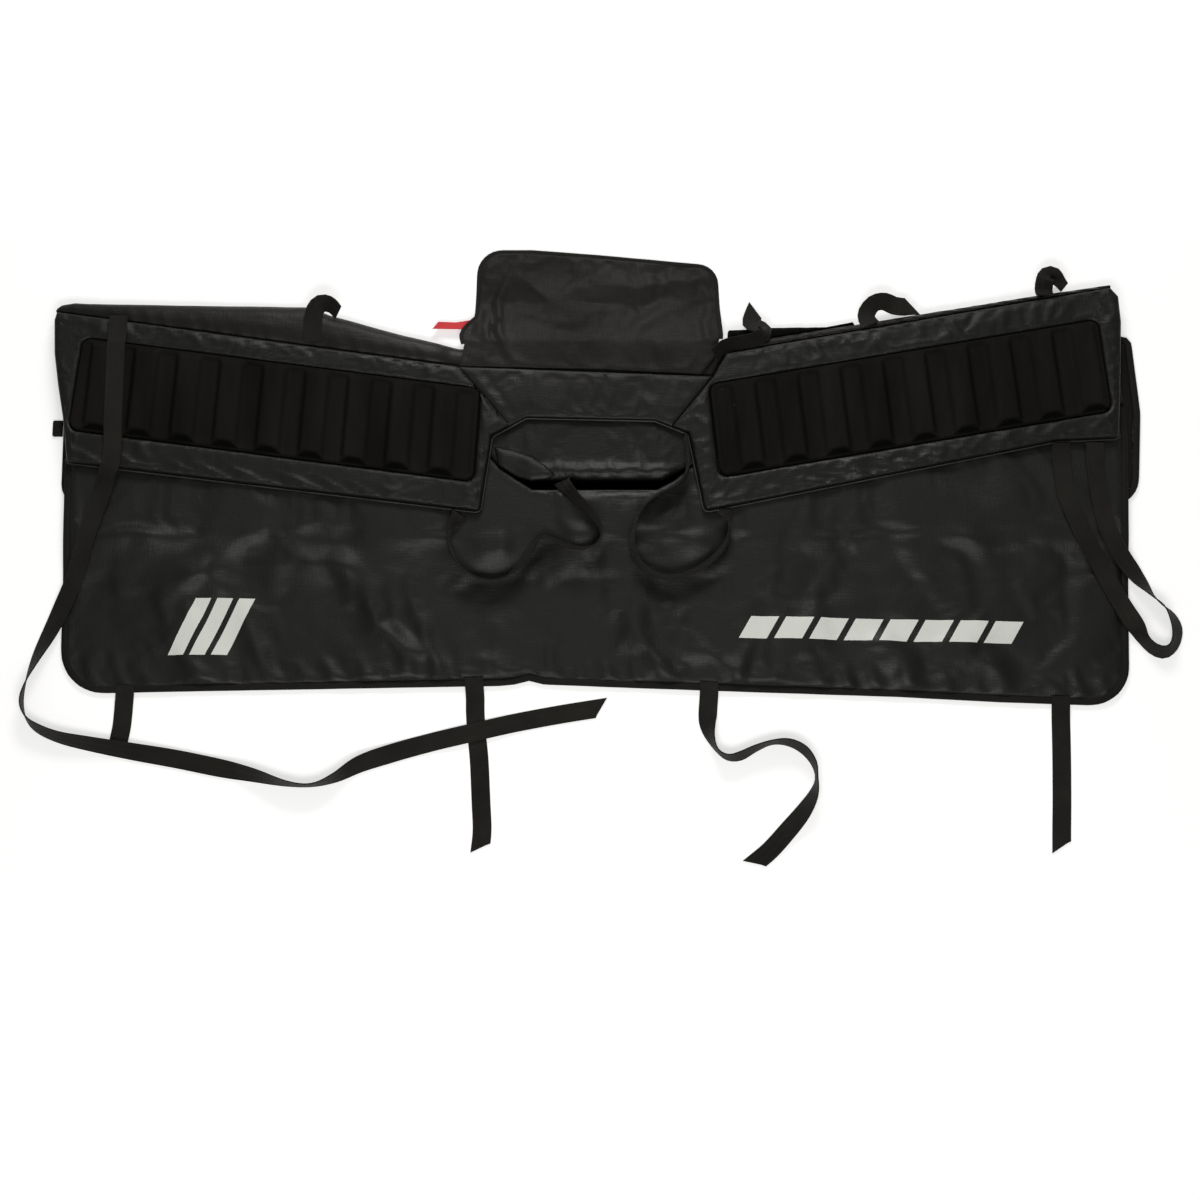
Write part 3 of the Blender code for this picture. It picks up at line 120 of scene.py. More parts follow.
@dataclass(frozen=True)
class Layers:
    """Heights of the stacked layers above the floor."""

    gap: float = 0.0003
    bed_panel: float = 0.007
    road_panel: float = 0.008
    wing: float = 0.013
    bridge: float = 0.009
    crown: float = 0.022
    pocket_depth: float = 0.006
    drop_start: float = -0.178
    drop_end: float = -0.235

    @property
    def under_road(self) -> float:
        """Return the underside of the road-side panel where it lies on the bed-side panel."""
        return self.bed_panel + self.gap

    @property
    def under_yoke(self) -> float:
        """Return the underside of the yoke."""
        return self.under_road + self.road_panel + self.gap

    @property
    def pocket_floor(self) -> float:
        """Return the floor of the pockets that the bumpers sit in."""
        return self.under_yoke + self.wing - self.pocket_depth

    def drop(self, xs: Array, ys: Array) -> Array:
        """Return the underside of the road-side panel, which runs down to the floor past the yoke."""
        share = np.clip((self.drop_start - ys) / (self.drop_start - self.drop_end), 0.0, 1.0)
        return self.under_road * (1.0 - share)


LAYERS = Layers()


@dataclass(frozen=True)
class YokeLines:
    """The seams and hems of the yoke, shared by the layers that are sewn to it."""

    seam_left: Point = (-0.7445, 0.1395)
    seam_left_inner: Point = (-0.191, 0.061)
    seam_right_inner: Point = (0.16, 0.047)
    seam_right_corner: Point = (0.178, 0.08)
    seam_right: Point = (0.711, 0.1745)
    left_side: tuple[Point, ...] = ((-0.7475, 0.128), (-0.745, 0.08), (-0.738, 0.035), (-0.729, -0.012))
    left_hem_outer: Point = (-0.7205, -0.0745)
    left_hem_inner: Point = (-0.158, -0.144)
    left_chamfer_low: Point = (-0.143, -0.038)
    left_chamfer_top: Point = (-0.096, -0.011)
    right_chamfer_top: Point = (0.08, -0.015)
    right_chamfer_low: Point = (0.126, -0.034)
    right_hem_inner: Point = (0.147, -0.1435)
    right_hem_bend: Point = (0.628, -0.0445)
    right_hem_outer: Point = (0.7125, -0.0405)
    right_side: tuple[Point, ...] = ((0.717, 0.014), (0.7205, 0.071), (0.7235, 0.125), (0.7215, 0.162))
    corner_radius: float = 0.006

    def seam(self) -> list[Point]:
        """Return the crown seam from left to right."""
        return [self.seam_left, self.seam_left_inner, self.seam_right_inner, self.seam_right_corner,
                self.seam_right]

    def seam_y(self, x: float) -> float:
        """Return the crown seam's y at x.

        Args:
            x: where it is read.

        Returns:
            The seam's y.
        """
        points = self.seam()
        for first, second in zip(points, points[1:]):
            if x <= second[0]:
                break
        return first[1] + (second[1] - first[1]) * (x - first[0]) / (second[0] - first[0])

    def seam_between(self, low: float, high: float) -> list[Point]:
        """Return the crown seam from right to left, cut to a range of x.

        Args:
            low: the lowest x.
            high: the highest x.

        Returns:
            Its points, cut at both ends.
        """
        kept = [(low, self.seam_y(low))]
        kept += [point for point in self.seam() if low < point[0] < high]
        kept.append((high, self.seam_y(high)))
        return kept[::-1]

    def joint(self, side: Side) -> Point:
        """Return the place on a chamfer of the cut-out where wing and bridge are sewn.

        Args:
            side: which wing.

        Returns:
            The place.
        """
        low, top = self.left_chamfer_low, self.left_chamfer_top
        if side is Side.RIGHT:
            low, top = self.right_chamfer_low, self.right_chamfer_top
        return ((low[0] + top[0]) / 2.0, (low[1] + top[1]) / 2.0)

    def wing(self, side: Side) -> list[Point]:
        """Return a wing's rounded outline.

        Args:
            side: which wing.

        Returns:
            The outline.
        """
        if side is Side.LEFT:
            points = (self.seam_left, *self.left_side, self.left_hem_outer, self.left_hem_inner,
                      self.left_chamfer_low, self.joint(side), self.seam_left_inner)
        else:
            points = (self.seam_right_corner, self.seam_right_inner, self.joint(side), self.right_chamfer_low,
                      self.right_hem_inner, self.right_hem_bend, self.right_hem_outer, *self.right_side,
                      self.seam_right)
        soft = (self.left_hem_outer, self.left_hem_inner, self.right_hem_inner, self.right_hem_outer)
        return rounded([(*point, self.corner_radius if point in soft else 0.0) for point in points])

    def free_edge(self) -> list[Point]:
        """Return the yoke's free edge, from the left wing's side round the cut-out to the right wing's.

        Returns:
            The outline, whose last side isn't free.
        """
        radius = self.corner_radius
        corners = [
            (*self.left_hem_outer, radius), (*self.left_hem_inner, radius), self.left_chamfer_low,
            self.left_chamfer_top, self.right_chamfer_top, self.right_chamfer_low,
            (*self.right_hem_inner, radius), self.right_hem_bend, (*self.right_hem_outer, radius),
            self.right_side[0], self.left_side[-1],
        ]
        return rounded(corners)


# Plane geometry


def rounded(corners: Sequence[Corner], steps: int = 8) -> list[Point]:
    """Round the corners of a closed outline.

    Args:
        corners: (x, y) or (x, y, radius) corners, listed anticlockwise.
        steps: segments of each round.

    Returns:
        The outline's points.
    """
    outline: list[Point] = []
    for index, corner in enumerate(corners):
        x, y, radius = (*corner, 0.0)[:3]
        if radius <= 0.0:
            outline.append((x, y))
            continue
        point = Vector((x, y))
        back = (Vector(corners[index - 1][:2]) - point).normalized()
        ahead = (Vector(corners[(index + 1) % len(corners)][:2]) - point).normalized()
        half = back.angle(ahead) / 2.0
        centre = point + (back + ahead).normalized() * radius / math.sin(half)
        start = point + back * radius / math.tan(half) - centre
        sweep = start.angle_signed(point + ahead * radius / math.tan(half) - centre)
        for step in range(steps + 1):
            turn = -sweep * step / steps
            outline.append((centre.x + start.x * math.cos(turn) - start.y * math.sin(turn),
                            centre.y + start.x * math.sin(turn) + start.y * math.cos(turn)))
    return outline


def offset(outline: Path, distance: float) -> list[Point]:
    """Move every edge of an anticlockwise outline outwards.

    Args:
        outline: the closed outline.
        distance: how far, negative for inwards.

    Returns:
        The moved outline.
    """
    moved: list[Point] = []
    for index, place in enumerate(outline):
        point = Vector(place)
        back = (point - Vector(outline[index - 1])).normalized()
        ahead = (Vector(outline[(index + 1) % len(outline)]) - point).normalized()
        normal = Vector((back.y + ahead.y, -back.x - ahead.x)).normalized()
        reach = distance / max(normal.dot(Vector((ahead.y, -ahead.x))), 0.3)
        moved.append((point.x + normal.x * reach, point.y + normal.y * reach))
    return moved


def even_path(path: Path, step: float, closed: bool) -> list[Point]:
    """Read a path again at even steps.

    Args:
        path: the path's corners.
        step: the wanted distance between points.
        closed: whether the path returns to its start.

    Returns:
        The points, without the repeated start of a closed path.
    """
    points = np.array(list(path) + ([path[0]] if closed else []), float)
    runs = np.concatenate([[0.0], np.cumsum(np.hypot(*np.diff(points, axis=0).T))])
    count = max(2, round(runs[-1] / step))
    wanted = np.linspace(0.0, runs[-1], count + 1)
    xs = np.interp(wanted, runs, points[:, 0])
    ys = np.interp(wanted, runs, points[:, 1])
    even = list(zip(xs.tolist(), ys.tolist()))
    return even[:-1] if closed else even


def smooth(values: Array) -> Array:
    """Return a smooth change from 0 to 1 as the values go from 0 to 1."""
    share = np.clip(values, 0.0, 1.0)
    return share * share * (3.0 - 2.0 * share)


def soft_edge(distance: Array, width: float) -> Array:
    """Return the share of full thickness at a distance inside a rounded edge."""
    share = np.clip(distance / width, 0.0, 1.0)
    return np.sqrt(1.0 - (1.0 - share) ** 2)


@dataclass(frozen=True)
class Reading:
    """Where points lie beside a path: how far off, how far along and on which side."""

    distance: Array
    run: Array
    side: Array
    length: float


def measure(xs: Array, ys: Array, path: Path, closed: bool = False) -> Reading:
    """Measure points against a path.

    Args:
        xs: the points' x.
        ys: the points' y.
        path: the path's corners.
        closed: whether the path returns to its start.

    Returns:
        The reading of every point.
    """
    points = np.array(list(path) + ([path[0]] if closed else []), float)
    best = np.full(xs.shape, np.inf)
    run = np.zeros(xs.shape)
    side = np.ones(xs.shape)
    before = 0.0
    for (x, y), (ahead_x, ahead_y) in zip(points[:-1], np.diff(points, axis=0)):
        length = math.hypot(ahead_x, ahead_y)
        if length < 1e-9:
            continue
        share = np.clip(((xs - x) * ahead_x + (ys - y) * ahead_y) / length**2, 0.0, 1.0)
        distance = np.hypot(xs - x - ahead_x * share, ys - y - ahead_y * share)
        nearer = distance < best
        best = np.where(nearer, distance, best)
        run = np.where(nearer, before + share * length, run)
        side = np.where(nearer, np.sign(ahead_x * (ys - y) - ahead_y * (xs - x)), side)
        before += length
    return Reading(best, run, side, before)


def ripple(values: Array, seed: float) -> Array:
    """Return smooth noise from about -1 to 1 along a line."""
    drawn = [noise.noise(Vector((value, seed, 0.37))) for value in values.ravel()]
    return np.array(drawn).reshape(values.shape) * 1.6


# Relief in the cloth


class Relief(Protocol):
    """Anything that lifts or sinks the cloth of a padded piece."""

    def lift(self, xs: Array, ys: Array) -> Array:
        """Return how far the cloth is lifted at each point."""


@dataclass(frozen=True)
class Fold:
    """A crease in the coated cloth: a rounded ridge with a valley on one side."""

    path: Path
    height: float
    width: float
    lean: float = 0.35

    def lift(self, xs: Array, ys: Array) -> Array:
        """Return how far the fold lifts the cloth at each point.

        Args:
            xs: the points' x.
            ys: the points' y.

        Returns:
            The lift at each point.
        """
        reading = measure(xs, ys, self.path)
        signed = reading.distance * reading.side / self.width
        ridge = np.exp(-(np.abs(signed) ** 1.6))
        valley = np.exp(-(((signed - 1.7) / 0.9) ** 2))
        from_end = np.minimum(reading.run, reading.length - reading.run)
        taper = 0.25 + 0.75 * smooth(from_end / (0.35 * reading.length))
        return self.height * (ridge - self.lean * valley) * taper


@dataclass(frozen=True)
class Pucker:
    """A row of small gathers beside a line of stitching."""

    path: Path
    reach: float
    pitch: float
    height: float
    slant: float = 0.0
    seed: float = 1.0
    inset: float = 0.0

    def lift(self, xs: Array, ys: Array) -> Array:
        """Return how far the gathers lift the cloth at each point.

        Args:
            xs: the points' x.
            ys: the points' y.

        Returns:
            The lift at each point.
        """
        reading = measure(xs, ys, self.path)
        away = (reading.distance - self.inset) / self.reach
        near = np.exp(-(away**2))
        run = reading.run + self.slant * reading.distance
        phase = 2.0 * math.pi * run / self.pitch + 3.2 * ripple(run / self.pitch * 0.6, self.seed)
        crest = 1.0 - 1.7 * np.abs(np.sin(phase / 2.0)) ** 0.8
        strength = 0.6 + 0.5 * ripple(run / self.pitch * 0.35, self.seed + 5.0)
        return self.height * crest * np.clip(strength, 0.05, 1.3) * near


@dataclass(frozen=True)
class StitchLine:
    """A sunk line of stitching."""

    path: Path
    depth: float = 0.0009
    width: float = 0.0028
    closed: bool = False

    def lift(self, xs: Array, ys: Array) -> Array:
        """Return how far the stitching pulls the cloth down at each point."""
        reading = measure(xs, ys, self.path, self.closed)
        return -self.depth * np.exp(-((reading.distance / self.width) ** 2))


@dataclass(frozen=True)
class Slack:
    """The broad, uneven swell of slack cloth over foam."""

    height: float
    scale: float
    seed: float
    stretch: float = 1.0
    turn: float = 0.0

    def lift(self, xs: Array, ys: Array) -> Array:
        """Return the swell at each point.

        Args:
            xs: the points' x.
            ys: the points' y.

        Returns:
            The lift at each point.
        """
        along = (xs * math.cos(self.turn) + ys * math.sin(self.turn)) / (self.scale * self.stretch)
        across = (ys * math.cos(self.turn) - xs * math.sin(self.turn)) / self.scale
        values = [noise.fractal(Vector((a, b, self.seed)), 0.9, 2.1, 4) for a, b in zip(along, across)]
        return self.height * np.array(values)


@dataclass(frozen=True)
class Crumple:
    """Fine, sharp creases in stiff coated cloth, strongest near a place."""

    height: float
    scale: float
    seed: float
    centre: Point = (0.0, 0.0)
    reach: float = math.inf

    def lift(self, xs: Array, ys: Array) -> Array:
        """Return the creases at each point.

        Args:
            xs: the points' x.
            ys: the points' y.

        Returns:
            The lift at each point.
        """
        values = np.array([
            noise.ridged_multi_fractal(Vector((x, y, self.seed)), 1.0, 2.0, 3, 1.0, 1.6)
            for x, y in zip(xs / self.scale, ys / self.scale)
        ])
        near = np.exp(-(((xs - self.centre[0]) ** 2 + (ys - self.centre[1]) ** 2) / self.reach**2))
        return self.height * (values - 1.0) * near


@dataclass(frozen=True)
class Swell:
    """A soft mound of padding between two distances from a line."""

    path: Path
    centre: float
    width: float
    height: float

    def lift(self, xs: Array, ys: Array) -> Array:
        """Return the mound's height at each point."""
        reading = measure(xs, ys, self.path)
        return self.height * np.exp(-(((reading.distance - self.centre) / self.width) ** 2))


@dataclass(frozen=True)
class Below:
    """Relief that fades out above a line of y, where another piece lies on the cloth."""

    line: float
    run: float
    parts: tuple[Relief, ...]

    def lift(self, xs: Array, ys: Array) -> Array:
        """Return the faded relief at each point."""
        return sum(item.lift(xs, ys) for item in self.parts) * smooth((self.line - ys) / self.run)


# Shader parts


def set_inputs(tree: Tree, node: Node, values: dict) -> None:
    """Link or set a node's inputs.

    Args:
        tree: the node tree.
        node: the node.
        values: a value or another node's socket for each input, by name or place.
    """
    for key, value in values.items():
        if isinstance(value, Socket):
            tree.links.new(value, node.inputs[key])
        else:
            node.inputs[key].default_value = value


def add_node(tree: Tree, kind: str, inputs: dict | None = None,
             **settings: object) -> Node:
    """Add a shader node with its inputs and settings.

    Args:
        tree: the node tree.
        kind: the node's type, without its prefix.
        inputs: a value or another node's socket for each input, by name or place.
        settings: the node's own settings.

    Returns:
        The node.
    """
    made = tree.nodes.new("ShaderNode" + kind)
    for key, value in settings.items():
        setattr(made, key, value)
    set_inputs(tree, made, inputs or {})
    return made


def math_node(tree: Tree, operation: str, *values: object) -> Socket:
    """Add a Math node and return its result."""
    return add_node(tree, "Math", dict(enumerate(values)), operation=operation).outputs[0]


def mix_colour(tree: Tree, share: object, first: object, second: object) -> Socket:
    """Mix two colours by a share and return the result."""
    values = {0: share, 6: first, 7: second}
    return add_node(tree, "Mix", values, data_type="RGBA").outputs[2]


def span(tree: Tree, value: object, low: float, high: float, to_low: float, to_high: float,
         ) -> Socket:
    """Map a value from one range to another, clamped, and return the result."""
    values = {0: value, 1: low, 2: high, 3: to_low, 4: to_high}
    return add_node(tree, "MapRange", values).outputs[0]


def bump(tree: Tree, distance: float, height: Socket, over: Socket | None = None) -> Socket:
    """Add a bump, over another one where given.

    Args:
        tree: the node tree.
        distance: the bump's full height.
        height: the socket that shapes it.
        over: the normal of a bump beneath it.

    Returns:
        The normal.
    """
    values = {"Distance": distance, "Height": height}
    if over is not None:
        values["Normal"] = over
    return add_node(tree, "Bump", values).outputs[0]


def rgba(colour: Colour) -> tuple[float, float, float, float]:
    """Return a colour with full alpha."""
    return (*colour, 1.0)


class ShaderParts:
    """Node groups that more than one finish uses, each built once."""

    def __init__(self) -> None:
        """Build the groups."""
        self.cloth = self.build_cloth()
        self.mottle = self.build_mottle()
        self.dust = self.build_dust()

    @staticmethod
    def start(name: str, inputs: dict[str, str], outputs: Sequence[str],
              ) -> tuple[Tree, Node, Node]:
        """Start a group.

        Args:
            name: the group's name.
            inputs: each input's name and socket type.
            outputs: the names of the outputs, all values.

        Returns:
            The tree, its input node and its output node.
        """
        tree = bpy.data.node_groups.new(name, "ShaderNodeTree")
        for key, kind in inputs.items():
            tree.interface.new_socket(key, in_out="INPUT", socket_type=kind)
        for key in outputs:
            tree.interface.new_socket(key, in_out="OUTPUT", socket_type="NodeSocketFloat")
        return tree, tree.nodes.new("NodeGroupInput"), tree.nodes.new("NodeGroupOutput")

    def build_cloth(self) -> Tree:
        """Build the plain weave that shows through the coating.

        Returns:
            The group.
        """
        kinds = {"Vector": "NodeSocketVector", "Threads": "NodeSocketFloat"}
        tree, given, result = self.start("plain_weave", kinds, ("Height", "Slubs"))
        scaled = add_node(tree, "VectorMath", {0: given.outputs[0], "Scale": given.outputs[1]},
                          operation="SCALE")
        parts = add_node(tree, "SeparateXYZ", {0: scaled.outputs[0]})
        warp = math_node(tree, "SINE", parts.outputs[0])
        weft = math_node(tree, "SINE", parts.outputs[1])
        product = math_node(tree, "MULTIPLY", warp, weft)
        tree.links.new(math_node(tree, "MULTIPLY_ADD", product, 0.5, 0.5), result.inputs[0])
        streaks = []
        for scale in ((70.0, 430.0, 90.0), (430.0, 70.0, 90.0)):
            drawn = add_node(tree, "Mapping", {0: given.outputs[0], "Scale": scale})
            streaks.append(add_node(tree, "TexNoise", {"Vector": drawn.outputs[0], "Scale": 1.0,
                                                                 "Detail": 2.0}).outputs[0])
        both = math_node(tree, "MULTIPLY", math_node(tree, "ADD", *streaks), 0.5)
        tree.links.new(span(tree, both, 0.36, 0.64, 0.0, 1.0), result.inputs[1])
        return tree

    def build_mottle(self) -> Tree:
        """Build the uneven rub and fine wrinkling of the cloth: one mask and one height.

        Returns:
            The group.
        """
        kinds = {"Vector": "NodeSocketVector", "Patch": "NodeSocketFloat", "Wrinkle": "NodeSocketFloat"}
        tree, given, result = self.start("rub_and_wrinkle", kinds, ("Rub", "Wrinkle"))
        broad = add_node(tree, "TexNoise", {"Vector": given.outputs[0], "Scale": given.outputs[1],
                                                      "Detail": 4.0, "Roughness": 0.6})
        fine = add_node(tree, "TexNoise", {"Vector": given.outputs[0], "Scale": given.outputs[2],
                                                     "Detail": 5.0, "Roughness": 0.62, "Distortion": 0.6})
        tree.links.new(span(tree, broad.outputs[0], 0.32, 0.7, 0.0, 1.0), result.inputs[0])
        tree.links.new(fine.outputs[0], result.inputs[1])
        return tree

    def build_dust(self) -> Tree:
        """Build sparse specks of lint.

        Returns:
            The group.
        """
        kinds = {"Vector": "NodeSocketVector", "Cells": "NodeSocketFloat"}
        tree, given, result = self.start("lint", kinds, ("Mask",))
        values = {"Vector": given.outputs[0], "Scale": given.outputs[1]}
        cells = add_node(tree, "TexVoronoi", values)
        cluster = add_node(tree, "TexNoise", {"Vector": given.outputs[0], "Scale": 9.0})
        speck = span(tree, cells.outputs["Distance"], 0.04, 0.08, 1.0, 0.0)
        patch = span(tree, cluster.outputs[0], 0.67, 0.74, 0.0, 1.0)
        tree.links.new(math_node(tree, "MULTIPLY", speck, patch), result.inputs[0])
        return tree


def use_group(tree: Tree, group: Tree, inputs: dict) -> Node:
    """Place a shared group in a material."""
    return add_node(tree, "Group", inputs, node_tree=group)


@dataclass(frozen=True)
class Bars:
    """A plain row of slanted reflective bars, printed on the cloth."""

    centre: Point
    width: float
    height: float
    pitch: float
    fill: float = 0.72
    slant: float = 0.35
    turn: float = 0.0

    def mask(self, tree: Tree, place: Socket) -> Socket:
        """Add the nodes that are 1 on the bars.

        Args:
            tree: the node tree.
            place: where it is read.

        Returns:
            The mask.
        """
        values = {0: place, "Location": (*self.centre, 0.0), "Rotation": (0.0, 0.0, self.turn)}
        turned = add_node(tree, "Mapping", values, vector_type="TEXTURE")
        parts = add_node(tree, "SeparateXYZ", {0: turned.outputs[0]})
        across = math_node(tree, "ABSOLUTE", parts.outputs[1])
        inside = math_node(tree, "LESS_THAN", across, self.height / 2.0)
        leaning = math_node(tree, "MULTIPLY_ADD", parts.outputs[1], -self.slant, parts.outputs[0])
        within = math_node(tree, "LESS_THAN", math_node(tree, "ABSOLUTE", leaning), self.width / 2.0)
        shifted = math_node(tree, "ADD", leaning, self.width / 2.0)
        step = math_node(tree, "MODULO", shifted, self.pitch)
        bar = math_node(tree, "LESS_THAN", step, self.pitch * self.fill)
        return math_node(tree, "MULTIPLY", math_node(tree, "MULTIPLY", inside, within), bar)


# Finishes


class Finish(Protocol):
    """A finish that can be made into a material."""

    name: str

    def make(self, parts: ShaderParts) -> bpy.types.Material:
        """Make the material."""


def start_material(name: str) -> tuple[bpy.types.Material, Tree, Node]:
    """Start a Principled material.

    Args:
        name: its name.

    Returns:
        The material, its tree and its shader.
    """
    material = bpy.data.materials.new(name)
    material.use_nodes = True
    return material, material.node_tree, material.node_tree.nodes["Principled BSDF"]


@dataclass(frozen=True)
class CoatedCloth:
    """Coated black cloth: a faint weave, a rubbed sheen, fine wrinkles, some lint and painted shade in an
    optional box.
    """

    name: str
    dark: Colour
    light: Colour
    roughness: tuple[float, float] = (0.42, 0.58)
    gloss: float = 0.42
    weave: float = 0.00014
    wrinkle: float = 0.0008
    wrinkle_scale: float = 14.0
    patch_scale: float = 4.0
    slub: float = 0.3
    painted_shade_box: tuple[float, float, float, float] | None = None
    prints: tuple[Bars, ...] = ()

    def shade(self, tree: Tree, place: Socket) -> Socket:
        """Add the nodes that are 1 inside the box of painted shade, a box on the floor.

        Args:
            tree: the node tree.
            place: where it is read.

        Returns:
            The mask.
        """
        x, y, half_x, half_y = self.painted_shade_box
        values = {0: place, "Location": (x, y, 0.0)}
        moved = add_node(tree, "Mapping", values, vector_type="TEXTURE")
        parts = add_node(tree, "SeparateXYZ", {0: moved.outputs[0]})
        inside = [math_node(tree, "LESS_THAN", math_node(tree, "ABSOLUTE", parts.outputs[axis]), half)
                  for axis, half in enumerate((half_x, half_y))]
        return math_node(tree, "MULTIPLY", *inside)

    def make(self, parts: ShaderParts) -> bpy.types.Material:
        """Make the material.

        Args:
            parts: the shared groups.

        Returns:
            The material.
        """
        material, tree, shader = start_material(self.name)
        place = add_node(tree, "TexCoord").outputs["Object"]
        mottle = use_group(tree, parts.mottle, {"Vector": place, "Patch": self.patch_scale,
                                                "Wrinkle": self.wrinkle_scale})
        weave = use_group(tree, parts.cloth, {"Vector": place, "Threads": 2.0 * math.pi / 0.0016})
        lint = use_group(tree, parts.dust, {"Vector": place, "Cells": 55.0})
        grain = math_node(tree, "MULTIPLY_ADD", weave.outputs[1], self.slub, -0.5 * self.slub)
        share = math_node(tree, "ADD", mottle.outputs[0], grain)
        colour = mix_colour(tree, share, rgba(self.dark), rgba(self.light))
        colour = mix_colour(tree, lint.outputs[0], colour, rgba((0.16, 0.15, 0.13)))
        gloss = self.gloss
        # Painted shade: inside the box the cloth is painted near black and loses its gloss, for the shadow in
        # the handle slot.
        if self.painted_shade_box:
            unlit = self.shade(tree, place)
            colour = mix_colour(tree, unlit, colour, rgba((0.0003, 0.0003, 0.0003)))
            gloss = math_node(tree, "MULTIPLY_ADD", unlit, -self.gloss, self.gloss)
        rough = span(tree, share, 0.0, 1.0, self.roughness[1], self.roughness[0])
        for bars in self.prints:
            mask = bars.mask(tree, place)
            colour = mix_colour(tree, mask, colour, rgba((0.83, 0.85, 0.8)))
            rough = math_node(tree, "MULTIPLY_ADD", mask, -0.08, rough)
        wrinkled = bump(tree, self.wrinkle, mottle.outputs[1])
        woven = bump(tree, self.weave, weave.outputs[1], wrinkled)
        set_inputs(tree, shader, {"Base Color": colour, "Roughness": rough, "Normal": woven,
                                  "Specular IOR Level": gloss})
        return material


@dataclass(frozen=True)
class Ribbon:
    """Woven ribbon: webbing in a herringbone, or edge tape in plain cross ribs."""

    name: str
    dark: Colour
    light: Colour
    roughness: float = 0.72
    gloss: float = 0.22
    rib: float = 0.0019
    herringbone: float = 0.0042
    depth: float = 0.00022
    sheen: float = 0.05

    def make(self, parts: ShaderParts) -> bpy.types.Material:
        """Make the material.

        Args:
            parts: the shared groups.

        Returns:
            The material.
        """
        material, tree, shader = start_material(self.name)
        ribbon = add_node(tree, "UVMap", uv_map="ribbon").outputs[0]
        place = add_node(tree, "TexCoord").outputs["Object"]
        axes = add_node(tree, "SeparateXYZ", {0: ribbon})
        zigzag = 0.0
        if self.herringbone:
            zigzag = math_node(tree, "PINGPONG", axes.outputs[0], self.herringbone)
        run = math_node(tree, "ADD", axes.outputs[1], zigzag)
        ribs = math_node(tree, "SINE", math_node(tree, "MULTIPLY", run, 2.0 * math.pi / self.rib))
        height = math_node(tree, "MULTIPLY_ADD", ribs, 0.5, 0.5)
        mottle = use_group(tree, parts.mottle, {"Vector": place, "Patch": 16.0, "Wrinkle": 70.0})
        share = math_node(tree, "MULTIPLY", mottle.outputs[0], span(tree, height, 0.0, 1.0, 0.35, 1.0))
        colour = mix_colour(tree, share, rgba(self.dark), rgba(self.light))
        woven = bump(tree, self.depth, height, bump(tree, 0.0005, mottle.outputs[1]))
        set_inputs(tree, shader, {"Base Color": colour, "Roughness": self.roughness, "Normal": woven,
                                  "Specular IOR Level": self.gloss, "Sheen Weight": self.sheen})
        return material


@dataclass(frozen=True)
class MouldedFoam:
    """Matte moulded foam with a fine pebble, a paler random mottle, some dust, and painted shade in the
    crevices under and beside its ribs.
    """

    name: str = "moulded_foam"
    dark: Colour = (0.0052, 0.0048, 0.0041)
    light: Colour = (0.0118, 0.0108, 0.0092)
    roughness: float = 0.85
    gloss: float = 0.1

    def make(self, parts: ShaderParts) -> bpy.types.Material:
        """Make the material.

        Args:
            parts: the shared groups.

        Returns:
            The material.
        """
        material, tree, shader = start_material(self.name)
        place = add_node(tree, "TexCoord").outputs["Object"]
        streak = add_node(tree, "Mapping", {0: place, "Scale": (3.0, 0.6, 1.0)})
        mottle = use_group(tree, parts.mottle, {"Vector": streak.outputs[0], "Patch": 9.0, "Wrinkle": 420.0})
        lint = use_group(tree, parts.dust, {"Vector": place, "Cells": 70.0})
        painted_crevice_shade = add_node(tree, "Attribute", attribute_name="painted_crevice_shade").outputs["Fac"]
        colour = mix_colour(tree, mottle.outputs[0], rgba(self.dark), rgba(self.light))
        colour = mix_colour(tree, lint.outputs[0], colour, rgba((0.11, 0.105, 0.1)))
        # Painted shade: the colour goes near black where the vertex attribute says, under the ribs' lower
        # ends and beside them.
        colour = mix_colour(tree, painted_crevice_shade, colour, rgba((0.0004, 0.0004, 0.0004)))
        pebble = bump(tree, 0.0003, mottle.outputs[1])
        set_inputs(tree, shader, {"Base Color": colour, "Roughness": self.roughness, "Normal": pebble,
                                  "Specular IOR Level": self.gloss})
        return material


@dataclass(frozen=True)
class PlainFinish:
    """A finish of one colour range with a fine grain: fleece, label cloth or moulded plastic."""

    name: str
    dark: Colour
    light: Colour
    roughness: float
    gloss: float
    grain_scale: float
    grain: float
    sheen: float = 0.0

    def make(self, parts: ShaderParts) -> bpy.types.Material:
        """Make the material.

        Args:
            parts: the shared groups.

        Returns:
            The material.
        """
        material, tree, shader = start_material(self.name)
        place = add_node(tree, "TexCoord").outputs["Object"]
        mottle = use_group(tree, parts.mottle, {"Vector": place, "Patch": 22.0, "Wrinkle": self.grain_scale})
        weave = use_group(tree, parts.cloth, {"Vector": place, "Threads": 2.0 * math.pi / 0.0012})
        colour = mix_colour(tree, mottle.outputs[0], rgba(self.dark), rgba(self.light))
        fine = bump(tree, self.grain * 0.2, weave.outputs[0], bump(tree, self.grain, mottle.outputs[1]))
        set_inputs(tree, shader, {"Base Color": colour, "Roughness": self.roughness, "Normal": fine,
                                  "Specular IOR Level": self.gloss, "Sheen Weight": self.sheen})
        return material


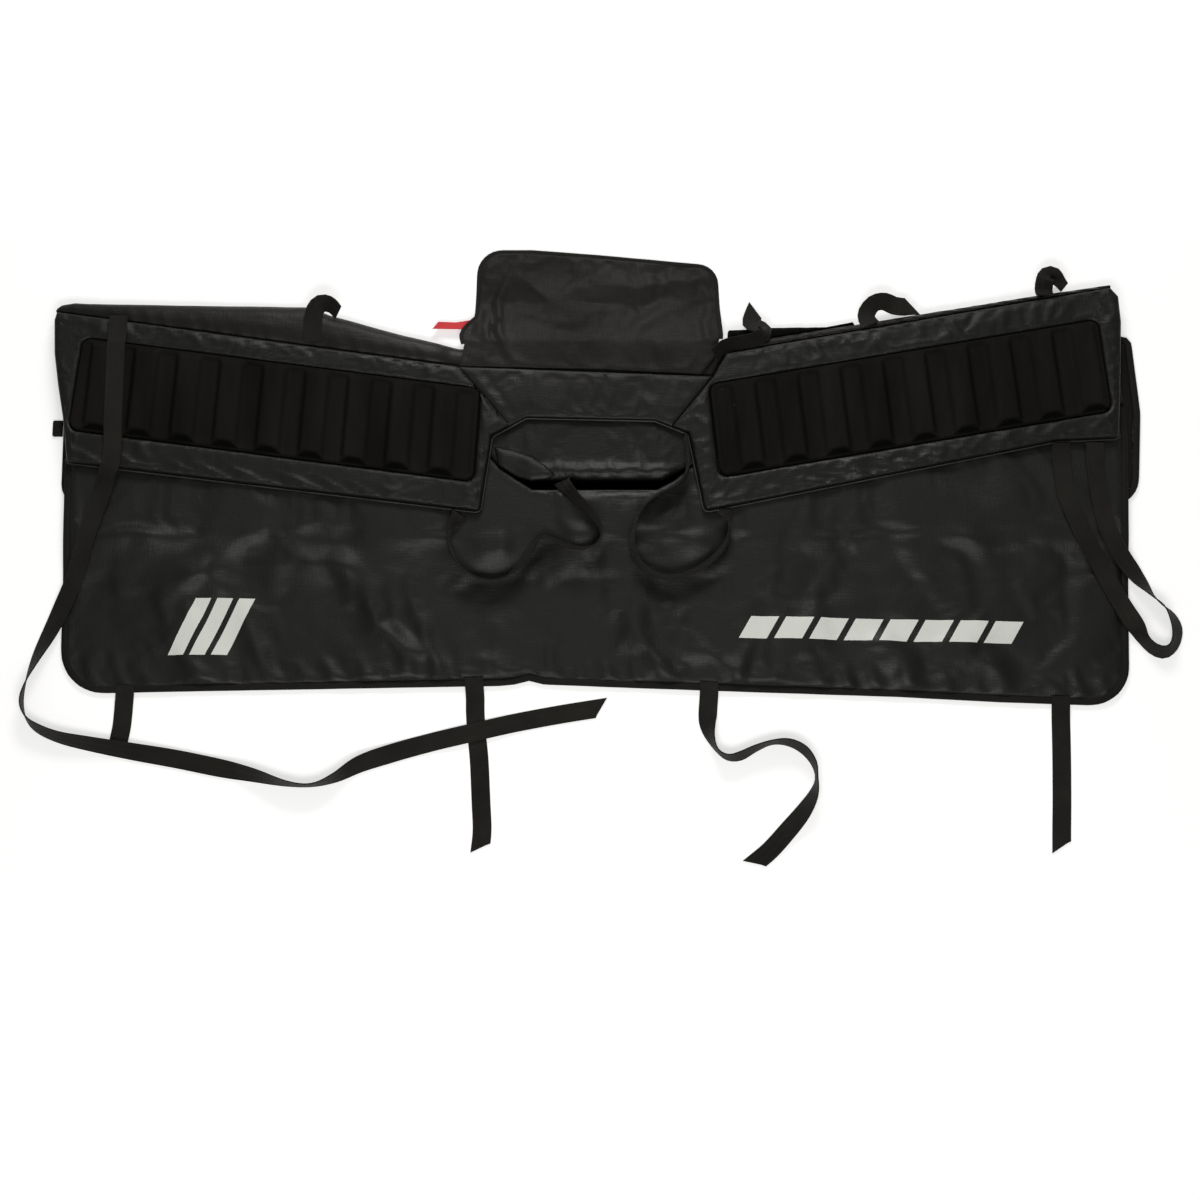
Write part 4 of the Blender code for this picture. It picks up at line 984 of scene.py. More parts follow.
class Wardrobe:
    """Every finish of the pad, made into a material the first time that it is asked for."""

    FINISHES: tuple[Finish, ...] = (
        CoatedCloth("road_panel_cloth", (0.0018, 0.0018, 0.0014), (0.0078, 0.008, 0.007),
                    prints=(Bars((-0.515, -0.3), 0.086, 0.078, 0.0292, slant=0.45),
                            Bars((0.386, -0.305), 0.372, 0.03, 0.047, fill=0.8, slant=0.55,
                                 turn=math.radians(-1.2)))),
        CoatedCloth("yoke_cloth", (0.0018, 0.0017, 0.0013), (0.0068, 0.0068, 0.006), gloss=0.38),
        CoatedCloth("valance_cloth", (0.0018, 0.0019, 0.0017), (0.0062, 0.0066, 0.0062), gloss=0.36),
        CoatedCloth("crown_cloth", (0.0036, 0.0032, 0.0026), (0.011, 0.0098, 0.0082), gloss=0.3),
        CoatedCloth("flap_cloth", (0.0105, 0.01, 0.009), (0.024, 0.023, 0.0208), roughness=(0.46, 0.62),
                    gloss=0.15, wrinkle=0.0006, wrinkle_scale=12.0),
        # The bed-side cloth is painted near black in a box under the handle slot, as painted shade.
        CoatedCloth("bed_panel_cloth", (0.004, 0.0036, 0.003), (0.012, 0.0108, 0.009), gloss=0.2,
                    painted_shade_box=(0.0, -0.108, 0.145, 0.036)),
        Ribbon("edge_ribbon", (0.0045, 0.0041, 0.0034), (0.0115, 0.0105, 0.009), herringbone=0.0, rib=0.0016,
               depth=0.00012),
        Ribbon("flap_ribbon", (0.0065, 0.0062, 0.0054), (0.018, 0.0172, 0.0155), herringbone=0.0, rib=0.0016,
               depth=0.00012),
        Ribbon("strap_webbing", (0.0062, 0.0055, 0.0043), (0.0196, 0.0176, 0.0142)),
        PlainFinish("piping_cord", (0.014, 0.014, 0.013), (0.048, 0.0475, 0.044), 0.42, 0.45, 60.0, 0.0003),
        PlainFinish("napped_fleece", (0.0016, 0.0014, 0.0012), (0.005, 0.0044, 0.0038), 0.95, 0.05, 160.0,
                    0.003, sheen=0.05),
        PlainFinish("label_cloth", (0.68, 0.04, 0.047), (0.78, 0.068, 0.075), 0.7, 0.2, 90.0, 0.0003),
        PlainFinish("lock_plastic", (0.006, 0.006, 0.0062), (0.011, 0.011, 0.0112), 0.42, 0.4, 900.0,
                    0.00006),
        MouldedFoam(),
    )

    def __init__(self) -> None:
        """Build the shared shader parts."""
        self.parts = ShaderParts()
        self.made: dict[str, bpy.types.Material] = {}

    def material(self, name: str) -> bpy.types.Material:
        """Return the material of a finish.

        Args:
            name: the finish's name.

        Returns:
            The material.
        """
        if name not in self.made:
            finish = next(item for item in self.FINISHES if item.name == name)
            self.made[name] = finish.make(self.parts)
        return self.made[name]

    def dress(self, item: Item, finish: str, slot: Slot, node: str = "") -> Item:
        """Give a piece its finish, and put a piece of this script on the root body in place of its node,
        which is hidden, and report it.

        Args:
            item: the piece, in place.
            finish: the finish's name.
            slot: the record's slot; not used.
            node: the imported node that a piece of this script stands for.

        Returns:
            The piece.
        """
        item.data.materials.clear()
        item.data.materials.append(self.material(finish))
        if node:
            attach(item, "root")
            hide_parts(node)
        LOG.info("%s: %s", item.name, finish)
        return item


# Making pieces


def cut_region(outline: Path, pitch: float, rings: Sequence[float], hole: Path = ()) -> bmesh.types.BMesh:
    """Make a flat region, cut into rings beside its edge and a grid inside.

    Args:
        outline: the region's outline, anticlockwise.
        pitch: the grid's step.
        rings: widths of the rings beside the edge, from the edge inwards.
        hole: an outline cut out of the region.

    Returns:
        The flat mesh, at z 0, facing up.
    """
    bm = bmesh.new()
    edges = []
    for loop in (outline, hole):
        verts = [bm.verts.new((x, y, 0.0)) for x, y in loop]
        edges += [bm.edges.new(pair) for pair in zip(verts, verts[1:] + verts[:1])]
    if hole:
        bmesh.ops.triangle_fill(bm, use_beauty=True, edges=edges, normal=(0.0, 0.0, 1.0))
    else:
        bm.faces.new(bm.verts[:])
    bm.normal_update()
    bmesh.ops.reverse_faces(bm, faces=[face for face in bm.faces if face.normal.z < 0.0])
    middle = bm.faces[:]
    for width in rings:
        bm.normal_update()
        bmesh.ops.inset_region(bm, faces=middle, thickness=width, use_even_offset=True, use_boundary=True)
    for axis in (0, 1):
        values = [point[axis] for point in outline]
        low, high = min(values), max(values)
        count = max(1, round((high - low) / pitch))
        normal = (1.0 - axis, float(axis), 0.0)
        for index in range(1, count):
            place = [0.0, 0.0, 0.0]
            place[axis] = low + (high - low) * index / count
            bmesh.ops.bisect_plane(bm, geom=bm.verts[:] + bm.edges[:] + bm.faces[:], dist=1e-6,
                                   plane_co=place, plane_no=normal)
    bmesh.ops.remove_doubles(bm, verts=bm.verts[:], dist=MERGE)
    return bm


def close_below(bm: bmesh.types.BMesh, under: Surface) -> None:
    """Give a sheet an underside at a given level, joined to it by walls.

    Args:
        bm: the sheet, which becomes the top.
        under: the level of the underside.
    """
    sheet = bm.faces[:]
    heights = {vert: vert.co.z for vert in bm.verts}
    bmesh.ops.extrude_face_region(bm, geom=sheet)
    lower = {vert for face in sheet for vert in face.verts}
    for vert, level in zip(lower, under(*spots_of(lower))):
        vert.co.z = min(level, heights[vert] - THINNEST)
    bmesh.ops.recalc_face_normals(bm, faces=bm.faces[:])


def level_at(height: float) -> Surface:
    """Return a level surface."""
    return lambda xs, ys: xs * 0.0 + height


def set_levels(bm: bmesh.types.BMesh, levels: Iterable[float]) -> None:
    """Set the height of each vertex of a sheet."""
    for vert, level in zip(bm.verts, levels):
        vert.co.z = level


def spots_of(verts: Iterable[bmesh.types.BMVert]) -> tuple[Array, Array]:
    """Return the x and the y of some vertices."""
    places = np.array([vert.co[:2] for vert in verts])
    return places[:, 0].copy(), places[:, 1].copy()


def finish_mesh(name: str, bm: bmesh.types.BMesh, flat: bool = False) -> Item:
    """Turn a bmesh into a smooth-shaded object in the scene.

    Args:
        name: its name.
        bm: the mesh, which is used up.
        flat: whether it stays flat-shaded.

    Returns:
        The object.
    """
    mesh = bpy.data.meshes.new(name)
    bm.to_mesh(mesh)
    bm.free()
    if not flat:
        mesh.shade_smooth()
        mesh.set_sharp_from_angle(angle=SHARP)
    item = bpy.data.objects.new(name, mesh)
    bpy.context.scene.collection.objects.link(item)
    return item


@dataclass(frozen=True)
class Settle:
    """A short cloth run in which slack cloth buckles between the seams that hold it."""

    slack: float = 0.03
    rise: float = 0.0035
    fall: float = 0.0012
    drift: float = 0.0006
    frames: int = 16
    quality: int = 5
    mass: float = 0.2
    stretch: float = 25.0
    shear: float = 12.0
    bend: float = 0.08

    def run(self, bm: bmesh.types.BMesh, held: Array) -> None:
        """Simulate a sheet and move its vertices, no further than the foam beneath allows.

        Args:
            bm: the sheet.
            held: which of its vertices are sewn down.
        """
        mesh = bpy.data.meshes.new("settling")
        bm.to_mesh(mesh)
        item = bpy.data.objects.new("settling", mesh)
        bpy.context.scene.collection.objects.link(item)
        item.vertex_groups.new(name="sewn").add(np.flatnonzero(held).tolist(), 1.0, "REPLACE")
        cloth = item.modifiers.new("Settle", "CLOTH")
        cloth.settings.quality = self.quality
        cloth.settings.mass = self.mass
        cloth.settings.tension_stiffness = self.stretch
        cloth.settings.compression_stiffness = self.stretch
        cloth.settings.shear_stiffness = self.shear
        cloth.settings.bending_stiffness = self.bend
        cloth.settings.shrink_min = -self.slack
        cloth.settings.vertex_group_mass = "sewn"
        cloth.settings.effector_weights.gravity = 0.0
        cloth.settings.use_pressure = False
        cloth.collision_settings.use_collision = False
        cloth.point_cache.frame_end = self.frames
        for frame in range(1, self.frames + 1):
            bpy.context.scene.frame_set(frame)
        settled = item.evaluated_get(bpy.context.evaluated_depsgraph_get())
        for vert, point in zip(bm.verts, settled.data.vertices):
            move = point.co - vert.co
            sideways = max(math.hypot(move.x, move.y), 1e-9)
            keep = min(1.0, self.drift / sideways)
            vert.co.x += move.x * keep
            vert.co.y += move.y * keep
            vert.co.z += max(-self.fall, min(self.rise, move.z))
        bpy.context.scene.frame_set(1)
        bpy.data.objects.remove(item)


@dataclass(frozen=True)
class Pad:
    """A padded cloth piece: an outline, filled, with a soft edge and relief in its cloth."""

    name: str
    outline: Path
    floor: Surface
    thickness: float
    rim: float = 0.35
    edge: float = 0.008
    pitch: float = 0.006
    rings: tuple[float, ...] = (0.0012, 0.0026)
    hole: Path = ()
    relief: tuple[Relief, ...] = ()
    settle: Settle | None = None
    under_edge: float = 0.004
    under_turn: float = 0.12
    edge_relief: float = 0.3
    least: float = 0.28
    sewn: float = 0.0045
    fill: float = 0.5

    def from_edge(self, xs: Array, ys: Array) -> Array:
        """Return the distance to the nearest edge of the piece.

        Args:
            xs: the points' x.
            ys: the points' y.

        Returns:
            The distances.
        """
        distance = measure(xs, ys, self.outline, True).distance
        if self.hole:
            distance = np.minimum(distance, measure(xs, ys, self.hole, True).distance)
        return distance

    def top(self, xs: Array, ys: Array) -> Array:
        """Return the level of the cloth on top.

        Args:
            xs: the points' x.
            ys: the points' y.

        Returns:
            The levels.
        """
        edge = soft_edge(self.from_edge(xs, ys), self.edge)
        level = self.floor(xs, ys) + self.thickness * (self.rim + (1.0 - self.rim) * edge)
        for item in self.relief:
            level = level + item.lift(xs, ys) * (self.edge_relief + (1.0 - self.edge_relief) * edge)
        return np.maximum(level, self.floor(xs, ys) + self.least * self.thickness)

    def under(self, xs: Array, ys: Array) -> Array:
        """Return the level of the underside, which turns up a little at the edge."""
        edge = soft_edge(self.from_edge(xs, ys), self.under_edge)
        return self.floor(xs, ys) + self.thickness * self.under_turn * (1.0 - edge)

    def build(self) -> Item:
        """Build the piece.

        Returns:
            The finished object.
        """
        bm = cut_region(self.outline, self.pitch, self.rings, self.hole)
        xs, ys = spots_of(bm.verts)
        set_levels(bm, self.top(xs, ys))
        if self.settle:
            self.settle.run(bm, self.from_edge(xs, ys) < self.sewn)
        close_below(bm, self.under)
        item = finish_mesh(self.name, bm)
        return item


@dataclass(frozen=True)
class Station:
    """A place along a swept piece, with its directions across and up."""

    place: Vector
    across: Vector
    up: Vector


def stations_on(points: Sequence[Sequence[float]], closed: bool) -> list[Station]:
    """Return level stations along a path of (x, y, z) points.

    Args:
        points: the (x, y, z) points.
        closed: whether the path returns to its start.

    Returns:
        One station for each point.
    """
    places = [Vector(point) for point in points]
    found = []
    for index, place in enumerate(places):
        last = len(places) - 1
        ahead = places[(index + 1) % len(places)] if closed else places[min(index + 1, last)]
        behind = places[index - 1] if closed else places[max(index - 1, 0)]
        tangent = (ahead - behind).normalized()
        across = Vector((0.0, 0.0, 1.0)).cross(tangent).normalized()
        found.append(Station(place, across, tangent.cross(across)))
    return found


def sweep(name: str, section: Sequence[Point], stations: Sequence[Station], closed: bool = False) -> Item:
    """Sweep a closed section along stations, with a UV map in metres across and along.

    Args:
        name: the piece's name.
        section: (across, up) points of the section.
        stations: the places that it passes.
        closed: whether the last station leads back to the first.

    Returns:
        The swept object.
    """
    rows = [*stations, stations[0]] if closed else list(stations)
    runs = [0.0]
    for first, second in zip(rows, rows[1:]):
        runs.append(runs[-1] + (second.place - first.place).length)
    ring = [*section, section[0]]
    bm = bmesh.new()
    chart = bm.loops.layers.uv.new("ribbon")
    bmesh.ops.create_grid(bm, x_segments=len(ring) - 1, y_segments=len(rows) - 1, size=1.0)
    spots = {}
    for vert in bm.verts:
        column = round((vert.co.x + 1.0) / 2.0 * (len(ring) - 1))
        row = round((vert.co.y + 1.0) / 2.0 * (len(rows) - 1))
        across, up = ring[column]
        station = rows[row]
        vert.co = station.place + station.across * across + station.up * up
        spots[vert] = (across, runs[row])
    for face in bm.faces:
        for loop in face.loops:
            loop[chart].uv = spots[loop.vert]
    bmesh.ops.remove_doubles(bm, verts=bm.verts[:], dist=1e-6)
    if not closed:
        bmesh.ops.holes_fill(bm, edges=[edge for edge in bm.edges if edge.is_boundary], sides=0)
    bmesh.ops.recalc_face_normals(bm, faces=bm.faces[:])
    return finish_mesh(name, bm)


def oval(width: float, height: float, count: int = 12, square: float = 1.0) -> list[Point]:
    """Return an oval section, squarer as square goes below 1.

    Args:
        width: the section's width.
        height: the section's height.
        count: how many points it has.
        square: 1 for an oval, less for a squarer shape.

    Returns:
        The (across, up) points.
    """
    points = []
    for index in range(count):
        turn = 2.0 * math.pi * index / count
        across = math.copysign(abs(math.cos(turn)) ** square, math.cos(turn))
        up = math.copysign(abs(math.sin(turn)) ** square, math.sin(turn))
        points.append((across * width / 2.0, up * height / 2.0))
    return points


@dataclass(frozen=True)
class Binding:
    """Edge tape folded round a panel's edge, a little wavy where it is sewn."""

    name: str
    outline: Path
    floor: Surface
    width: float
    thickness: float
    wave: float = 0.0007
    seed: float = 3.0
    bare: Callable[[Point], bool] | None = None
    step: float = 0.007
    wave_run: float = 0.035
    lift: float = 0.0006

    def build(self) -> Item:
        """Build the tape round the edge, past any bare stretch of it, and return it.

        Returns:
            The piece.
        """
        middle = offset(self.outline, -LAYERS.gap / 2.0 - self.width / 2.0)
        if self.bare:
            bound = [not self.bare(point) for point in self.outline]
            start = next(index for index in range(len(bound)) if bound[index] and not bound[index - 1])
            order = [(start + index) % len(bound) for index in range(len(bound))]
            middle = [middle[index] for index in order if bound[index]]
        middle = even_path(middle, self.step, not self.bare)
        xs, ys = np.array(middle).T
        runs = np.arange(len(middle)) * self.step
        rise = self.wave * 0.6 * ripple(runs / self.wave_run, self.seed)
        levels = self.floor(xs, ys) + self.lift + self.thickness / 2.0 + rise
        stations = stations_on(list(zip(xs, ys, levels)), not self.bare)
        section = oval(self.width - LAYERS.gap, self.thickness, square=0.55)
        return sweep(self.name, section, stations, not self.bare)


def bound_inset(outline: Path, tape: float, bare: Callable[[Point], bool],
                tuck: float = 0.0009) -> list[Point]:
    """Inset an outline by its edge tape, but reach the edge where it is bare.

    Args:
        outline: the whole outline.
        tape: the tape's width.
        bare: tells whether the edge is bare at a point of the outline.
        tuck: how far the cloth runs in under the tape.

    Returns:
        The outline of the cloth inside the tape.
    """
    inner = offset(outline, tuck - tape)
    outer = offset(outline, -LAYERS.gap / 2.0)
    return [far if bare(point) else near for point, near, far in zip(outline, inner, outer)]


# Webbing


class Ground:
    """What the webbing lies on: the pieces made so far and the floor."""

    def __init__(self, items: Sequence[Item]) -> None:
        """Gather the pieces into one search tree.

        Args:
            items: the pieces.
        """
        corners: list[Vector] = []
        faces: list[list[int]] = []
        for item in items:
            start = len(corners)
            corners += [vert.co.copy() for vert in item.data.vertices]
            faces += [[start + index for index in face.vertices] for face in item.data.polygons]
        self.tree = BVHTree.FromPolygons(corners, faces)

    def level(self, x: float, y: float) -> float:
        """Return the top of whatever lies at a place."""
        hit = self.tree.ray_cast(Vector((x, y, 1.0)), Vector((0.0, 0.0, -1.0)))[0]
        return hit.z if hit else 0.0


def follow(points: Sequence[Sequence[float]], step: float) -> Array:
    """Read a smooth curve through control rows at about even steps.

    Args:
        points: rows of x, y and further values.
        step: the wanted distance between readings.

    Returns:
        The readings, one row each.
    """
    rows = np.array(points, float)
    readings = []
    for index in range(len(rows) - 1):
        before, start = rows[max(index - 1, 0)], rows[index]
        end, after = rows[index + 1], rows[min(index + 2, len(rows) - 1)]
        parts = max(1, round(math.dist(start[:2], end[:2]) / step))
        for part in range(parts):
            share = part / parts
            square, cube = share**2, share**3
            readings.append(
                (2 * cube - 3 * square + 1) * start + (cube - 2 * square + share) * (end - before) / 2
                + (3 * square - 2 * cube) * end + (cube - square) * (after - start) / 2
            )
    readings.append(rows[-1])
    return np.array(readings)


@dataclass(frozen=True)
class Strap:
    """One webbing strap: its route, its real length where it is long and loose, and its far end."""

    name: str
    node: str
    # x, y, lift off whatever lies beneath and roll in degrees (0 lies flat, 90 stands on its edge).
    # A lift or a roll of 0 is left out at a row's end.
    route: tuple[Corner, ...]
    length: float = 0.0
    far_end: FarEnd = FarEnd.BARE
    slant: float = 0.0
    width: float = 0.025
    thickness: float = 0.0018
    step: float = 0.006
    passes: int = 6

    def section(self) -> list[Point]:
        """Return the webbing's flat section with rounded selvedges.

        Returns:
            Its (across, up) points.
        """
        half, thin = self.width / 2.0, self.thickness / 2.0
        upper = [(share * (half - 0.0006), thin) for share in (1.0, 0.6, 0.2, -0.2, -0.6, -1.0)]
        lower = [(-across, -thin) for across, _ in upper]
        return [(half, 0.0), *upper, (-half, 0.0), *lower]

    def heights(self, rows: Array, ground: Ground) -> Array:
        """Return the middle line's height at each row, at rest on what lies beneath.

        Args:
            rows: x, y, lift and roll readings.
            ground: what it lies on.

        Returns:
            The heights.
        """
        raw = []
        for index, (x, y, _, degrees) in enumerate(rows):
            ahead = rows[min(index + 1, len(rows) - 1)] - rows[max(index - 1, 0)]
            length = math.hypot(ahead[0], ahead[1])
            ahead_x, ahead_y = ahead[0] / length, ahead[1] / length
            roll = math.radians(degrees)
            height = 0.0
            for share in (-1.0, -0.5, 0.0, 0.5, 1.0):
                reach = share * self.width / 2.0
                for advance in (-0.004, 0.0, 0.004):
                    spot_x = x - ahead_y * reach * math.cos(roll) + ahead_x * advance
                    spot_y = y + ahead_x * reach * math.cos(roll) + ahead_y * advance
                    height = max(height, ground.level(spot_x, spot_y) - reach * math.sin(roll))
            raw.append(height + self.thickness / 2.0 * math.cos(roll) + LAYERS.gap)
        rested = np.array(raw)
        floor = rested.copy()
        for _ in range(self.passes):
            rested[1:-1] = np.maximum(floor[1:-1], (rested[:-2] + rested[2:]) / 2.0)
        return rested + rows[:, 2]

    def build(self, ground: Ground) -> Item:
        """Args:
            ground: what it lies on.

        Returns:
            The finished strap.
        """
        rows = follow([(*row, 0.0, 0.0)[:4] for row in self.route], self.step)
        places = [Vector((row[0], row[1], height)) for row, height in zip(rows, self.heights(rows, ground))]
        stations = []
        for index, place in enumerate(places):
            tangent = (places[min(index + 1, len(places) - 1)] - places[max(index - 1, 0)]).normalized()
            level = Vector((0.0, 0.0, 1.0)).cross(tangent).normalized()
            roll = math.radians(rows[index][3])
            across = level * math.cos(roll) + tangent.cross(level) * math.sin(roll)
            up = tangent.cross(across)
            behind = (len(places) - 1 - index) * self.step
            slant = max(0.0, abs(self.slant) - 1.6 * behind)
            across = across + tangent * math.copysign(slant, self.slant) / self.width
            stations.append(Station(place, across, up))
        item = sweep(self.name, self.section(), stations)
        if self.length:
            measured = sum((second - first).length for first, second in zip(places, places[1:]))
            LOG.info("%s is %.3f m long", self.name, measured)
        return item


# Sub-assemblies


@dataclass
class BedSide:
    """The bed-side panel underneath, with its edge tape, edge tab and ladder locks."""

    sides: tuple[Corner, ...] = (
        (-0.731, -0.131, 0.03), (0.74, -0.131, 0.04), (0.749, 0.0), (0.741, 0.11, 0.013),
        (0.712, 0.112),
    )
    seam_reach: Point = (-0.735, 0.708)
    tape_width: float = 0.01
    tape_thickness: float = 0.005
    tab: tuple[Corner, ...] = (
        (-0.7475, -0.033, 0.003), (-0.7331, -0.033), (-0.7331, -0.01), (-0.7475, -0.01, 0.003),
    )
    lines: YokeLines = field(default_factory=YokeLines)

    def outline(self) -> list[Point]:
        """Return the panel's outline, tape included."""
        return rounded([*self.sides, *self.lines.seam_between(*self.seam_reach)])

    def build(self, wardrobe: Wardrobe) -> list[Item]:
        """Build and dress the pieces.

        Args:
            wardrobe: the finishes.

        Returns:
            The pieces.
        """
        outline = self.outline()
        panel = Pad("bed_panel_cover", offset(outline, -self.tape_width - LAYERS.gap / 2.0),
                    level_at(0.0), LAYERS.bed_panel, rim=0.5, pitch=0.012,
                    relief=(Slack(0.0006, 0.09, 4.0),))
        cover = wardrobe.dress(panel.build(), "bed_panel_cloth", Slot.FABRIC, "inner_panel")
        tape = Binding("bed_panel_binding", outline, level_at(0.0), self.tape_width, self.tape_thickness)
        binding = wardrobe.dress(tape.build(), "edge_ribbon", Slot.TAPE, "inner_panel_tape")
        tab = Pad("edge_tab_cloth", rounded(self.tab), level_at(0.0006), 0.004, edge=0.003,
                  pitch=0.002, rings=(0.0006,), relief=(Slack(0.0006, 0.01, 8.0),))
        cloth = wardrobe.dress(tab.build(), "edge_ribbon", Slot.TAPE, "edge_tab")
        return [cover, binding, cloth]


@dataclass
class RoadSide:
    """The road-side panel with its folds, sewn channels, printed bars and edge tape."""

    hem: tuple[Corner, ...] = (
        (-0.719, -0.392, 0.06), (-0.53, -0.388), (-0.296, -0.384), (-0.129, -0.381),
        (-0.11, -0.379), (-0.09, -0.374), (-0.07, -0.379), (0.005, -0.382),
        (0.139, -0.387), (0.406, -0.396), (0.539, -0.403), (0.714, -0.409, 0.055),
    )
    head: tuple[Corner, ...] = (
        (0.728, -0.035), (0.724, 0.012), (0.152, -0.068), (0.128, -0.08),
        (0.106, -0.098), (0.082, -0.111), (-0.086, -0.111), (-0.134, -0.078),
        (-0.15, -0.06), (-0.727, -0.03),
    )
    tape_width: float = 0.01
    tape_thickness: float = 0.005
    domes: tuple[Point, ...] = ((-0.146, -0.2), (-0.02, -0.168), (0.132, -0.186))
    channels: tuple[Point, ...] = ((-0.657, -0.606), (-0.193, -0.142), (0.125, 0.177), (0.582, 0.634))
    folds: tuple[Fold, ...] = (
        Fold(((-0.478, -0.275), (-0.455, -0.333), (-0.438, -0.386)), 0.0058, 0.013),
        Fold(((-0.56, -0.345), (-0.5, -0.386)), 0.003, 0.011),
        Fold(((-0.371, -0.338), (-0.341, -0.386)), 0.004, 0.009),
        Fold(((-0.35, -0.228), (-0.313, -0.243), (-0.297, -0.299), (-0.248, -0.335), (-0.268, -0.384)),
             0.0078, 0.015, 0.5),
        Fold(((-0.241, -0.28), (-0.223, -0.333), (-0.2, -0.384)), 0.0058, 0.012),
        Fold(((-0.575, -0.238), (-0.53, -0.232), (-0.48, -0.262)), 0.0085, 0.022, 0.5),
        Fold(((-0.425, -0.212), (-0.353, -0.216), (-0.297, -0.226)), 0.0085, 0.02, 0.5),
        Fold(((-0.297, -0.226), (-0.287, -0.262), (-0.276, -0.3)), 0.006, 0.014),
        Fold(((-0.691, -0.186), (-0.632, -0.172), (-0.56, -0.186)), 0.007, 0.016, 0.5),
        Fold(((-0.131, -0.16), (-0.123, -0.215)), 0.003, 0.012),
        Fold(((0.079, -0.21), (0.059, -0.265), (0.048, -0.32)), 0.003, 0.014),
        Fold(((0.046, -0.29), (0.072, -0.333), (0.102, -0.386)), 0.0068, 0.015),
        Fold(((0.214, -0.312), (0.195, -0.347), (0.187, -0.386)), 0.005, 0.009),
        Fold(((0.35, -0.322), (0.391, -0.326), (0.415, -0.354), (0.432, -0.394)), 0.0078, 0.016, 0.5),
        Fold(((0.505, -0.336), (0.537, -0.358), (0.563, -0.4)), 0.0068, 0.014),
        Fold(((0.464, -0.132), (0.494, -0.168), (0.536, -0.218)), 0.005, 0.02),
        Fold(((0.3, -0.205), (0.22, -0.255), (0.15, -0.33)), 0.005, 0.022),
    )

    def outline(self) -> list[Point]:
        """Return the panel's outline, tape included."""
        return rounded([*self.hem, *self.head])

    @staticmethod
    def at_slot(point: Point) -> bool:
        """Tell whether a point of the outline lies at the slot, where the edge has no tape."""
        return abs(point[0]) < 0.16 and point[1] > -0.12

    def relief(self) -> tuple[Relief, ...]:
        """Return everything that shapes the panel's cloth.

        Returns:
            The parts of its relief.
        """
        hem_line = [corner[:2] for corner in self.hem]
        sewn = [StitchLine(((x, -0.16), (x, -0.4)), 0.0003, 0.0018) for pair in self.channels for x in pair]
        double = [StitchLine(((0.456, y), (0.715, y - 0.005)), 0.0016, 0.002) for y in (-0.077, -0.084)]
        return (
            *self.folds, *sewn, *double,
            Pucker(hem_line, 0.024, 0.044, 0.0034, 0.3, 2.0, inset=0.014),
            Slack(0.0064, 0.16, 1.7, 1.5, 0.5),
            Slack(0.0008, 0.05, 4.1, 1.8, -0.9),
            Crumple(0.0006, 0.08, 6.3, (-0.33, -0.3), 0.25),
            Crumple(0.0005, 0.08, 2.3, (0.42, -0.33), 0.28),
            *(Swell(((x, y), (x + 0.001, y)), 0.0, 0.024, 0.005) for x, y in self.domes),
        )

    def build(self, wardrobe: Wardrobe) -> list[Item]:
        """Build and dress the pieces.

        Args:
            wardrobe: the finishes.

        Returns:
            The pieces.
        """
        outline = self.outline()
        panel = Pad("road_panel_cover", bound_inset(outline, self.tape_width, self.at_slot), LAYERS.drop,
                    LAYERS.road_panel, rim=0.62, edge=0.01, pitch=0.006,
                    relief=(Below(-0.152, 0.025, self.relief()),),
                    settle=Settle(0.02, rise=0.003, fall=0.001))
        cover = wardrobe.dress(panel.build(), "road_panel_cloth", Slot.FABRIC, "outer_panel")
        tape = Binding("road_panel_binding", outline, LAYERS.drop, self.tape_width, self.tape_thickness,
                       0.0012, bare=self.at_slot)
        binding = wardrobe.dress(tape.build(), "edge_ribbon", Slot.TAPE, "outer_panel_tape")
        return [cover, binding]


